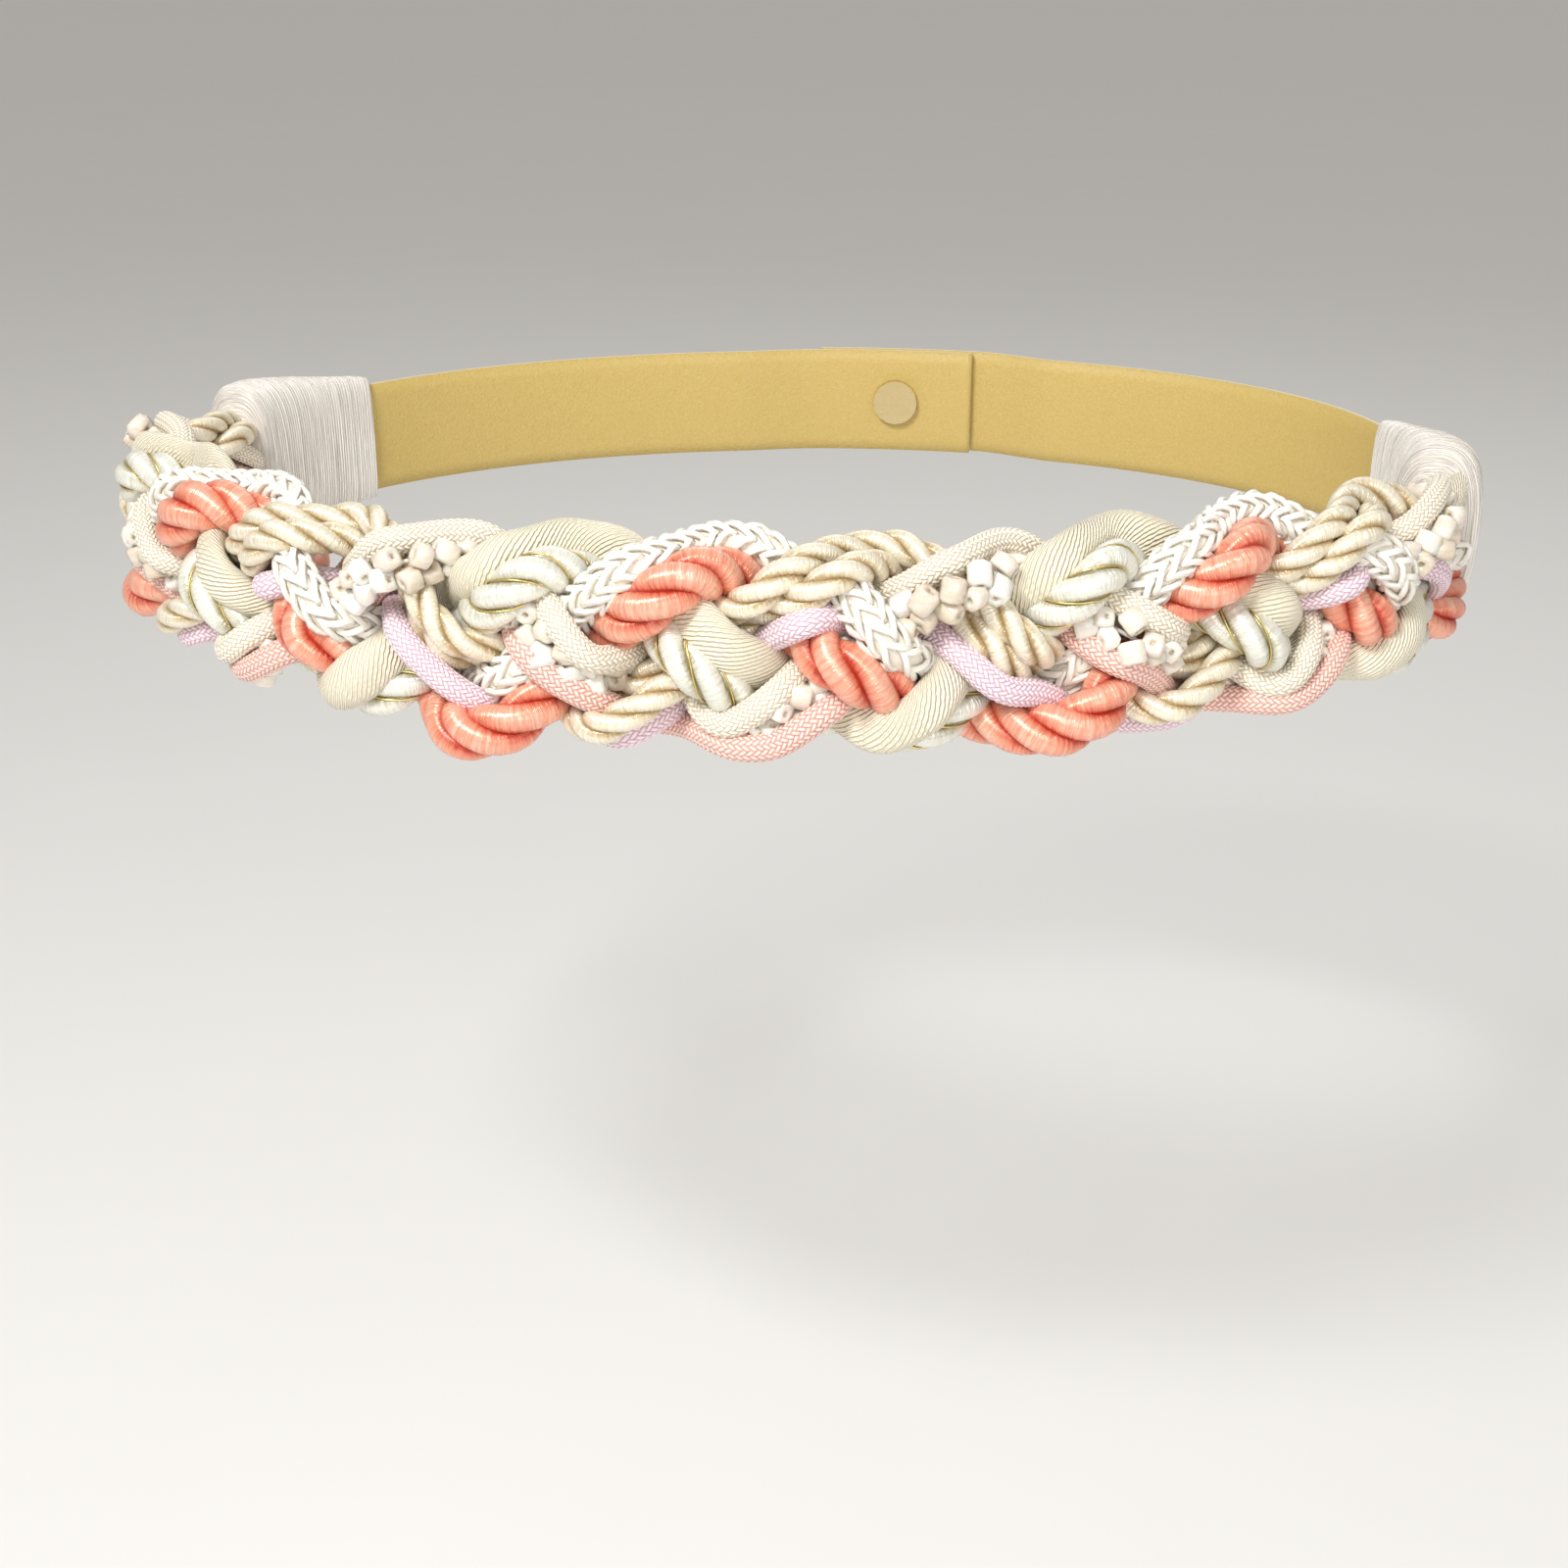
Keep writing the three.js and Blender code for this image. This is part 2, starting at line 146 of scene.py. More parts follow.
def bundle_path(bundle, along):
    """Height V cos t and rise -H (0.207 sin t + 1.207 sin 3t), where t is the bundle's phase."""
    t = 2 * np.pi * (along / PLAIT_PITCH - BUNDLES[bundle])
    rise = -BUNDLE_RISE * (RISE_ONCE * np.sin(t) + RISE_THRICE * np.sin(3 * t))
    return BUNDLE_SWING * np.cos(t), rise


print(f"{PLAIT_LENGTH / PLAIT_PITCH:.1f} repeats of the plait, with {len(NODES)} nodes along it")

# %% [markdown]
# ## Ten cords
#
# Each bundle is two or three cords side by side. Their order from the upper edge down is that of
# the list, and each cord keeps its place in its bundle through every crossing. Moved straight up
# or down, the cords would crowd each other where their bundle climbs, so each is moved square to
# the bundle's path.

# %% Ten cords
CORDS = (
    ("knit_cord", "a", 6.4),
    ("coral_rope", "a", 8.2),
    ("cream_tube", "b", 6.6),
    ("silver_rope", "b", 7.2),
    ("champagne_rope_upper", "c", 5.3),
    ("champagne_rope_lower", "c", 5.3),
    ("lilac_cord", "c", 4.6),
    ("beige_cord", "d", 4.6),
    ("bead_string", "d", 4.8),
    ("pink_cord", "d", 4.6),
)
CORD_NAMES = [name for name, _, _ in CORDS]
DIAMETERS = np.array([diameter for _, _, diameter in CORDS])
BUNDLE_SPREAD = 0.9
HALF_MM = 0.5


def thin_paths():
    """Side by side in its bundle, each cord at a fixed distance from the bundle's path. With the
    slope m over 1 mm, a cord at the distance d is d m / sqrt(1 + m^2) further back along the
    belt and d / sqrt(1 + m^2) higher than the bundle's path."""
    heights = []
    rises = []
    for bundle in BUNDLES:
        members = [diameter for _, own, diameter in CORDS if own == bundle]
        edge = sum(members) / 2
        for diameter in members:
            aside = (edge - diameter / 2) * BUNDLE_SPREAD
            edge -= diameter
            ahead, _ = bundle_path(bundle, NODES + HALF_MM)
            behind, _ = bundle_path(bundle, NODES - HALF_MM)
            slope = ahead - behind
            height, rise = bundle_path(bundle, NODES + aside * slope / np.hypot(1, slope))
            heights.append(height + aside / np.hypot(1, slope))
            rises.append(rise)
    order = [n for bundle in BUNDLES for n, cord in enumerate(CORDS) if cord[1] == bundle]
    back = np.argsort(order)
    return np.array(heights)[back], np.array(rises)[back]


print(f"{len(CORDS)} cords, from {DIAMETERS.min()} to {DIAMETERS.max()} mm thick")

# %% [markdown]
# ## Drawing the plait tight
#
# On the real belt the cords press on each other and push one another aside. A physics engine
# could do that, but it would be slow and hard to repeat. Here the cords start thin on their
# free paths and swell until they touch, while a few gentle pulls keep them smooth, near their
# paths and inside the plait. The CAD model uses the same rule, so every cord lies where its
# solid is.

# %% The pulls on a cord
PLAIT_WIDTH = 42.5
PLAIT_DEPTH_AIM = 21.0
STIFFNESS = 0.02
GUIDANCE = 0.02
FLATTENING = 0.006
EDGE_PULL = 0.3


def draw_in(v, w, free_v, firmness, held):
    """Stiffness as the fourth difference of each path, a pull towards the free path, and the
    limits of the plait's width and depth, all scaled by the firmness."""
    radius = DIAMETERS[:, None] / 2
    for path in (v, w):
        bend = np.zeros_like(path)
        bend[:, 1:-1] = path[:, 2:] - 2 * path[:, 1:-1] + path[:, :-2]
        fourth = 3 * bend[:, 1:-1] - bend[:, 2:] - bend[:, :-2]
        path[:, 1:-1] += firmness * STIFFNESS * fourth
    v += firmness * GUIDANCE * (free_v - v)
    w *= 1 - FLATTENING * firmness
    too_high = np.maximum(np.abs(v) - (PLAIT_WIDTH / 2 - radius), 0)
    v -= np.sign(v) * too_high * EDGE_PULL * max(firmness, held)
    too_deep = np.maximum(np.abs(w) - (PLAIT_DEPTH_AIM / 2 - radius), 0)
    w -= np.sign(w) * too_deep * EDGE_PULL * firmness


print(f"the pulls draw the cords towards a plait of {PLAIT_WIDTH} by {PLAIT_DEPTH_AIM} mm")

# %% [markdown]
# ## Cords that push each other
#
# Where two cords would overlap, each gives way by half. Contacts are looked for at the nodes and
# half-way between them. All pairs of cords are tested at once, as whole arrays, for a few steps
# forwards and backwards along the belt, because two cords that cross at a slant touch at places
# that aren't abreast.

# %% The pushes between two cords
CORD_CLEARANCE = 0.7
HAIR = 1e-6
FIRST, SECOND = np.triu_indices(len(CORDS), 1)
PICKS = [np.eye(len(CORDS))[:, side] for side in (FIRST, SECOND)]
REACHES = (DIAMETERS[FIRST] + DIAMETERS[SECOND]) / 2 + CORD_CLEARANCE


def pushes_at(v, w, size):
    """Two places of two cords, k steps of length h apart along the belt, touch where their
    distance across it is less than sqrt(reach^2 - (k h)^2). Each then moves by half of what
    is missing. A hair is added to each distance, so that none is zero. The result holds the
    sums of the moves up and out, and the number of contacts."""
    step = NODE_SPACING / 2
    steps = math.ceil(REACHES.max() / step)
    pushes = np.zeros((2, 3, len(FIRST), v.shape[1]))
    for k in range(-steps, steps + 1):
        flat = (size * REACHES) ** 2 - (k * step) ** 2
        here = slice(max(0, -k), v.shape[1] - max(0, k))
        there = slice(max(0, k), v.shape[1] - max(0, -k))
        dv = v[SECOND, there] - v[FIRST, here]
        dw = w[SECOND, there] - w[FIRST, here]
        square = dv * dv + dw * dw
        close = square < flat[:, None]
        apart = np.sqrt(square) + HAIR
        part = (np.sqrt(np.maximum(flat, 0))[:, None] / apart - 1) / 2 * close
        for side, sign, places in ((0, -1, here), (1, 1, there)):
            pushes[side, 0, :, places] += sign * part * dv
            pushes[side, 1, :, places] += sign * part * dw
            pushes[side, 2, :, places] += close
    return sum(PICKS[side] @ pushes[side] for side in (0, 1))


print(f"{len(FIRST)} pairs of cords, which touch at up to {REACHES.max():.1f} mm")

# %% [markdown]
# ## The settling
#
# In each round the cords are drawn in once and push each other twice. One round alone would leave
# overlaps, because a cord that gives way to one neighbour is pushed into the next, so there are
# many small rounds. The drawing fades out once the cords have their full size, and the last
# rounds only take overlaps away.

# %% The settling
SETTLE_ROUNDS = 500
THIN_SHARE = 0.2
SWELLING_SHARE = 0.6
HELD_SHARE = 0.6
HOLD = 0.2
FADE = 1.25
PUSH_GAIN = 2.0
CONTACT_EASE = 0.3


def settle():
    """The height and depth of every cord at every node. The moves of all contacts of a place are
    averaged, and then smoothed along the cord by 1/4, 1/2, 1/4."""
    count = len(NODES)
    middles = np.zeros((count, 2 * count - 1))
    middles[np.arange(count), 2 * np.arange(count)] = 1
    middles[np.arange(count - 1), 2 * np.arange(count - 1) + 1] = 0.5
    middles[np.arange(1, count), 2 * np.arange(count - 1) + 1] = 0.5
    free_v, free_w = thin_paths()
    v = free_v.copy()
    w = free_w.copy()
    for turn in range(2 * SETTLE_ROUNDS):
        share = (turn // 2) / SETTLE_ROUNDS
        size = min(1, THIN_SHARE + (1 - THIN_SHARE) * share / SWELLING_SHARE)
        if turn % 2 == 0:
            late = max(0, (share - SWELLING_SHARE) / (1 - SWELLING_SHARE))
            held = HOLD if share < HELD_SHARE else 0
            draw_in(v, w, free_v, max(0, 1 - FADE * late), held)
        total = pushes_at(v @ middles, w @ middles, size) @ middles.T
        for path, push in ((v, total[0]), (w, total[1])):
            moves = PUSH_GAIN * push / (total[2] + CONTACT_EASE)
            padded = np.pad(moves, ((0, 0), (1, 1)), mode="edge")
            path += moves / 2 + (padded[:, :-2] + padded[:, 2:]) / 4
    return v, w


SETTLED_V, SETTLED_W = settle()
INNER_FACE = (SETTLED_W - DIAMETERS[:, None] / 2).min()
OUTER_FACE = (SETTLED_W + DIAMETERS[:, None] / 2).max()
PLAIT_DEPTH = OUTER_FACE - INNER_FACE
PLAIT_HALF = (np.abs(SETTLED_V) + DIAMETERS[:, None] / 2).max()
print(f"the plait has settled {2 * PLAIT_HALF:.1f} mm high and {PLAIT_DEPTH:.1f} mm thick")

# %% [markdown]
# ## From nodes to curves
#
# A cord bends smoothly from node to node. Straight pieces would show as corners, so a natural
# cubic spline goes through the nodes: it is the line of a thin springy rod. Towards its wound
# ends the plait is gathered, which draws every cord in by the same share.

# %% From nodes to curves
GATHER_LENGTH = 34.0
GATHER_SHARE = 0.82


def smooth(share):
    """3 t^2 - 2 t^3 of the share t held between 0 and 1."""
    t = np.clip(share, 0, 1)
    return t * t * (3 - 2 * t)


def gathering(along):
    """The share of its full section that the plait keeps, which rises smoothly with the
    distance from the nearer wound end."""
    inside = np.minimum(along - PLAIT_START, PLAIT_END - along)
    return GATHER_SHARE + (1 - GATHER_SHARE) * smooth(inside / GATHER_LENGTH)


def through(values, at):
    """The natural cubic spline through the values at NODES.

    Its second derivatives m solve m[i-1] + 4 m[i] + m[i+1] = 6 (y[i-1] - 2 y[i] + y[i+1]) / h^2
    with m = 0 at both ends."""
    count = len(NODES)
    h = NODES[1] - NODES[0]
    system = np.eye(count)
    inner = np.arange(1, count - 1)
    system[inner, inner] = 4
    system[inner, inner - 1] = 1
    system[inner, inner + 1] = 1
    right = np.zeros(count)
    right[1:-1] = 6 * (values[:-2] - 2 * values[1:-1] + values[2:]) / h**2
    m = np.linalg.solve(system, right)
    i = np.clip(((at - NODES[0]) / h).astype(int), 0, count - 2)
    b = (at - NODES[i]) / h
    a = 1 - b
    curved = ((a**3 - a) * m[i] + (b**3 - b) * m[i + 1]) * h**2 / 6
    return a * values[i] + b * values[i + 1] + curved


print(f"at its ends the plait is gathered to {2 * PLAIT_HALF * GATHER_SHARE:.1f} mm")

# %% [markdown]
# ## The line of a cord
#
# Twists, stitches and braids are counted along the cord itself and not along the belt, so the
# line of a cord is read at equal steps of its own length. Blender's own curves could carry a
# section along a line, but they turn it in their own way. Here every place has directions of
# its own, which keep a pattern from turning by itself. The plait of the photograph is a little
# flatter than the settled one, so all heights are pressed to 96 %.

# %% The line of a cord
PRESSED_HEIGHT = 0.96
CORD_TUCK = 1.5
FINE_PLACES = 3000
TINY = 1e-9


def unit(vectors):
    """Each vector over its own length."""
    return vectors / np.maximum(np.linalg.norm(vectors, axis=-1, keepdims=True), TINY)


class Path:
    """A cord's middle line at equal steps of its own length, in millimetres, with its own
    directions: `across` is as outward as it can be, and `downward` is at right angles to it.
    Its ends are tucked a little way into the wound ends."""

    def __init__(self, name, step):
        number = CORD_NAMES.index(name)
        fine = np.linspace(PLAIT_START - CORD_TUCK, PLAIT_END + CORD_TUCK, FINE_PLACES)
        self.place(number, fine)
        length = np.concatenate(
            [[0], np.cumsum(np.linalg.norm(np.diff(self.points, axis=0), axis=1))]
        )
        count = int(round(length[-1] / step)) + 1
        self.length = np.linspace(0, length[-1], count)
        self.place(number, np.interp(self.length, length, fine))
        self.tangent = unit(np.gradient(self.points, axis=0))
        _, outward = waist_frame(self.along)
        leaning = (outward * self.tangent).sum(-1, keepdims=True)
        self.across = unit(outward - self.tangent * leaning)
        self.downward = np.cross(self.tangent, self.across)
        self.radius = DIAMETERS[number] / 2

    def place(self, number, along):
        """Puts the points at arc lengths on the waist line."""
        self.along = along
        self.share = gathering(along)
        v = through(SETTLED_V[number], along)
        w = through(SETTLED_W[number], along)
        height = PRESSED_HEIGHT * self.share * v
        self.points = belt_point(along, height, self.share * (w - INNER_FACE))


for cord_name in CORD_NAMES:
    print(f"{cord_name} is {Path(cord_name, 1.0).length[-1]:.0f} mm long")

# %% [markdown]
# ## Carrying a section along a line
#
# A soft cord is a sweep: a closed section carried along a line. All rings are worked out at once
# as one array of rows by sides. The mesh gets a UV map with the turn round the section, from 0
# to 1, and the length along it in centimetres, which the thread patterns count from. A `shade`
# attribute says how deep between its neighbours each place lies, and the materials paint that
# depth as shade.

# %% Carrying a section along a line
MM_IN_CM = 10


def round_angles(sides):
    """Angles once round a section, from -pi, so that the UV seam lies on its inner side."""
    return np.linspace(-np.pi, np.pi, sides, endpoint=False)


def sweep(points, normal, half_normal, half_side, sides, bumps=0.0):
    """Rings round a line: p + (rn + bump) cos(t) n + (rs + bump) sin(t) s, where n is the given
    normal made square to the line, s is at right angles to both, and t goes round the ring."""
    tangent = unit(np.gradient(points, axis=0))
    n = unit(normal - tangent * (normal * tangent).sum(-1, keepdims=True))
    s = np.cross(tangent, n)
    t = round_angles(sides)
    rn = np.broadcast_to(np.asarray(half_normal, float), len(points))[:, None] + bumps
    rs = np.broadcast_to(np.asarray(half_side, float), len(points))[:, None] + bumps
    c = (rn * np.cos(t))[..., None]
    d = (rs * np.sin(t))[..., None]
    return points[:, None] + c * n[:, None] + d * s[:, None]


def grid_part(rings, along, shade=0.0, slot=0):
    """A part of a mesh from rings of points: vertices, faces with their UVs, and two caps.
    Quad (r, s) joins the places s and s + 1 of the rings r and r + 1."""
    rows, sides = rings.shape[:2]
    r, s = np.meshgrid(np.arange(rows - 1), np.arange(sides), indexing="ij")
    nxt = (s + 1) % sides
    quads = np.stack([r * sides + s, r * sides + nxt, (r + 1) * sides + nxt, (r + 1) * sides + s], -1)
    u = np.stack([s, s + 1, s + 1, s], -1) / sides
    v = np.stack([along[r], along[r], along[r + 1], along[r + 1]], -1) / MM_IN_CM
    return {
        "points": rings.reshape(-1, 3),
        "quads": quads.reshape(-1, 4),
        "uv": np.stack([u, v], -1).reshape(-1, 2),
        "caps": [np.arange(sides)[::-1], (rows - 1) * sides + np.arange(sides)],
        "shade": np.broadcast_to(shade, (rows, sides)).reshape(-1),
        "slot": slot,
    }


print(f"a ring of 4 places has them at {np.degrees(round_angles(4)).tolist()} degrees")

# %% [markdown]
# ## From parts to a piece
#
# One piece can have many parts, such as the strands of a rope or the beads of a string. Their
# arrays are joined and handed to Blender in one go with foreach_set, which is far quicker than
# adding vertices one by one. Each piece rides on the belt's one body, its slot names what it is
# made of, and it replaces the solid that it is named after.

# %% From parts to a piece
MM = 0.001


def face_arrays(parts):
    """The corners, sizes, UVs and material slots of all faces of the parts, as four arrays. The
    corners of a part are counted on from the last point of the part before it."""
    starts = np.cumsum([0] + [len(part["points"]) for part in parts])
    loops = []
    sizes = []
    uvs = []
    slots = []
    for part, start in zip(parts, starts):
        loops.append((part["quads"] + start).reshape(-1))
        sizes.append(np.full(len(part["quads"]), 4))
        uvs.append(part["uv"])
        for cap in part["caps"]:
            loops.append(cap + start)
            sizes.append(np.array([len(cap)]))
            uvs.append(np.zeros((len(cap), 2)))
        slots.append(np.full(len(part["quads"]) + len(part["caps"]), part["slot"]))
    return [np.concatenate(arrays) for arrays in (loops, sizes, uvs, slots)]


def build(solid, finish, parts, materials):
    """One object with smooth faces from several grid parts, which replaces a solid."""
    name = f"{solid}_{finish}"
    points = np.concatenate([part["points"] for part in parts]) * MM
    loops, sizes, uvs, slots = face_arrays(parts)
    mesh = bpy.data.meshes.new(name)
    mesh.vertices.add(len(points))
    mesh.vertices.foreach_set("co", points.astype(np.float32).reshape(-1))
    mesh.loops.add(len(loops))
    mesh.loops.foreach_set("vertex_index", loops.astype(np.int32))
    mesh.polygons.add(len(sizes))
    mesh.polygons.foreach_set("loop_start", (np.cumsum(sizes) - sizes).astype(np.int32))
    mesh.polygons.foreach_set("material_index", slots.astype(np.int32))
    uv_layer = mesh.uv_layers.new(name="UVMap")
    uv_layer.data.foreach_set("uv", uvs.astype(np.float32).reshape(-1))
    shades = np.concatenate([part["shade"] for part in parts])
    shade_layer = mesh.attributes.new("shade", "FLOAT", "POINT")
    shade_layer.data.foreach_set("value", shades.astype(np.float32))
    mesh.update()
    mesh.validate()
    mesh.shade_smooth()
    for material in materials:
        mesh.materials.append(material)
    piece = bpy.data.objects.new(name, mesh)
    bpy.context.scene.collection.objects.link(piece)
    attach(piece, "root")
    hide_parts(solid)
    low = np.round(points.min(axis=0) / MM, 1)
    high = np.round(points.max(axis=0) / MM, 1)
    print(f"{name}: {int((sizes - 2).sum())} triangles, from {low} to {high} mm")


print(f"lengths are multiplied by {MM} on their way into a mesh")

# %% [markdown]
# ## Patterns of thread
#
# All of the belt but its beads, strap and stud is thread: rayon satin, cotton twill and braid.
# Pictures of cloth could be wrapped round the cords, but they would stretch where a cord bends.
# So a pattern is one height from 0 to 1, worked out from the UV map, and it follows every bend.
# A node group holds each pattern, and every material gives it its own counts. The height then
# drives the bump and the colour together: on thread, its valleys are painted shade.

# %% An empty node group
def new_group(name, inputs, outputs):
    """An empty node group with named number sockets, its inputs and outputs, and a function
    that adds a Math node and returns its result."""
    group = bpy.data.node_groups.new(name, "ShaderNodeTree")
    for label in inputs:
        group.interface.new_socket(label, in_out="INPUT", socket_type="NodeSocketFloat")
    for label in outputs:
        group.interface.new_socket(label, in_out="OUTPUT", socket_type="NodeSocketFloat")
    source = group.nodes.new("NodeGroupInput")
    sink = group.nodes.new("NodeGroupOutput")

    def calc(operation, a, b=0.0, c=0.0):
        """The result of a Math node, whose inputs are numbers or other nodes' results."""
        node = group.nodes.new("ShaderNodeMath")
        node.operation = operation
        for socket, value in zip(node.inputs, (a, b, c)):
            if isinstance(value, (int, float)):
                socket.default_value = value
            else:
                group.links.new(value, socket)
        return node.outputs[0]

    return group, source.outputs, sink.inputs, calc


def uv_parts(group):
    """The turn round the section, from 0 to 1, and the length along it in centimetres."""
    uv = group.nodes.new("ShaderNodeUVMap")
    split = group.nodes.new("ShaderNodeSeparateXYZ")
    group.links.new(uv.outputs[0], split.inputs[0])
    return split.outputs["X"], split.outputs["Y"]


print(f"{len(bpy.data.node_groups)} node groups before the patterns are made")

# %% [markdown]
# ## Threads side by side
#
# Satin, twill and wound thread all show fine ridges at an even distance. Real threads also
# wander a little and gather in brighter and darker streaks, and noise that is long one way and
# short the other gives both. In the colour, the valleys and darker streaks are painted shade and
# the brighter streaks painted sheen.

# %% Threads side by side
STREAKS_ROUND = 2.5
NOISE_GAIN = 2.6
NOISE_SHIFT = -0.8


def node_group_threads():
    """Ridges 0.5 + 0.5 sin(2 pi (f v + g u + wobble noise)), mixed by `Loose` with streaks of
    noise that is long round the section and short along it, as loose satin threads lie. The
    noise n is stretched to gain n + shift, because it seldom strays far from its middle."""
    labels = ("Along", "Around", "Wobble", "Streaks", "Loose")
    group, given, result, calc = new_group("threads", labels, ("Height",))
    u, v = uv_parts(group)
    place = group.nodes.new("ShaderNodeCombineXYZ")
    group.links.new(calc("MULTIPLY", u, STREAKS_ROUND), place.inputs["X"])
    group.links.new(calc("MULTIPLY", v, given["Streaks"]), place.inputs["Y"])
    streaks = group.nodes.new("ShaderNodeTexNoise")
    streaks.inputs["Scale"].default_value = 1.0
    streaks.inputs["Detail"].default_value = 3.0
    group.links.new(place.outputs[0], streaks.inputs["Vector"])
    noise = calc("MULTIPLY_ADD", streaks.outputs["Fac"], NOISE_GAIN, NOISE_SHIFT)
    counted = calc("MULTIPLY_ADD", u, given["Around"], calc("MULTIPLY", v, given["Along"]))
    phase = calc("MULTIPLY_ADD", noise, given["Wobble"], counted)
    ridge = calc("MULTIPLY_ADD", calc("SINE", calc("MULTIPLY", phase, 2 * math.pi)), 0.5, 0.5)
    loose = calc("MULTIPLY", noise, given["Loose"])
    even = calc("MULTIPLY", ridge, calc("SUBTRACT", 1.0, given["Loose"]))
    group.links.new(calc("ADD", even, loose), result["Height"])
    return group


THREADS = node_group_threads()
print(f"the pattern {THREADS.name} has {len(THREADS.nodes)} nodes")

# %% [markdown]
# ## A round braid
#
# A round braid has two families of carriers, one wound to the left and one to the right, each
# over two and under two of the other, which gives the herringbone of short slanted bumps. The
# weave is exact, so it is worked out yarn by yarn and no noise is needed.

# %% A round braid
YARN_ROUNDNESS = 3.6
FLOAT_ARCH = 0.75
FAMILY_STARTS = (0.5, -1.5)


def node_group_braid():
    """A round braid over two and under two. With the turn u and the length v, the two families
    have their yarns where a = n (u + v / lay) or b = n (u - v / lay) is whole. Yarn i of the
    first is on top while i + b lies from -0.5 to 1.5 (mod 4), and yarn j of the second while
    a + j lies from 1.5 to 3.5. Across a yarn the height is sqrt(1 - k d^2), where d is the
    distance from its middle, and along its float it is an arch."""
    group, given, result, calc = new_group("braid", ("Carriers", "Lay"), ("Height",))
    u, v = uv_parts(group)
    turn = calc("MULTIPLY", u, given["Carriers"])
    run = calc("MULTIPLY", v, calc("DIVIDE", given["Carriers"], given["Lay"]))
    a = calc("ADD", turn, run)
    b = calc("SUBTRACT", turn, run)
    heights = []
    for own, other, start in zip((a, b), (b, a), FAMILY_STARTS):
        nearest = calc("ROUND", own)
        aside = calc("SUBTRACT", own, nearest)
        square = calc("MULTIPLY", aside, aside)
        dome = calc("MULTIPLY_ADD", square, -YARN_ROUNDNESS, 1.0)
        across = calc("SQRT", calc("MAXIMUM", dome, 0.0))
        sum_of_both = calc("ADD", calc("ADD", nearest, other), start)
        q = calc("SUBTRACT", calc("FLOORED_MODULO", sum_of_both, 4.0), 1.0)
        vault = calc("MULTIPLY_ADD", calc("MULTIPLY", q, q), -1.0, 1.0)
        arch = calc("SQRT", calc("MAXIMUM", vault, 0.0))
        arched = calc("MULTIPLY_ADD", arch, FLOAT_ARCH, 1 - FLOAT_ARCH)
        heights.append(calc("MULTIPLY", across, arched))
    group.links.new(calc("MAXIMUM", *heights), result["Height"])
    return group


BRAID = node_group_braid()
print(f"the pattern {BRAID.name} has {len(BRAID.nodes)} nodes")

# %% [markdown]
# ## Grain
#
# Leather, shell and worn metal have no threads but a fine uneven grain. It doesn't follow a
# cord, so it can be noise on Object coordinates, drawn out or pressed together along the height.

# %% Grain
def node_group_grain():
    """Noise of a given scale on Object coordinates, as leather, shell and worn metal have."""
    group, given, result, calc = new_group("grain", ("Scale", "Stretch"), ("Height",))
    place = group.nodes.new("ShaderNodeTexCoord")
    split = group.nodes.new("ShaderNodeSeparateXYZ")
    group.links.new(place.outputs["Object"], split.inputs[0])
    joined = group.nodes.new("ShaderNodeCombineXYZ")
    group.links.new(split.outputs["X"], joined.inputs["X"])
    group.links.new(split.outputs["Y"], joined.inputs["Y"])
    group.links.new(calc("MULTIPLY", split.outputs["Z"], given["Stretch"]), joined.inputs["Z"])
    noise = group.nodes.new("ShaderNodeTexNoise")
    noise.inputs["Detail"].default_value = 4.0
    group.links.new(joined.outputs[0], noise.inputs["Vector"])
    group.links.new(given["Scale"], noise.inputs["Scale"])
    group.links.new(noise.outputs["Fac"], result["Height"])
    return group


GRAIN = node_group_grain()
print(f"the pattern {GRAIN.name} has {len(GRAIN.nodes)} nodes")

# %% [markdown]
# ## A surface with crests and hollows
#
# Light runs along a satin thread and falls off across it, and the hollows between strands lie in
# shade. Both are painted into the colour: each material has three colours, a painted highlight
# for the crests, the main one, and a painted shade for the hollows. The shade attribute of a mesh
# says how deep a place lies, and the pattern's own valleys add more painted shade to it. Where the
# pattern is grain and not thread, the lighter and darker colours are the material's own tones.

# %% A surface with crests and hollows
MAIN_COLOUR_AT = 0.4


def ramp_factor(tree, height, valley_shade_and_tone):
    """shade + k (1 - height), where shade is the attribute of the mesh and k the weight given. On
    thread this paints shade into the valleys of the pattern; on grain it gives the grain's own darker
    tone.
    """
    shade = tree.nodes.new("ShaderNodeAttribute")
    shade.attribute_name = "shade"
    valley = tree.nodes.new("ShaderNodeMath")
    valley.operation = "MULTIPLY_ADD"
    valley.inputs[1].default_value = -valley_shade_and_tone
    valley.inputs[2].default_value = valley_shade_and_tone
    tree.links.new(height, valley.inputs[0])
    total = tree.nodes.new("ShaderNodeMath")
    total.operation = "ADD"
    tree.links.new(shade.outputs["Fac"], total.inputs[0])
    tree.links.new(valley.outputs[0], total.inputs[1])
    return total.outputs[0]


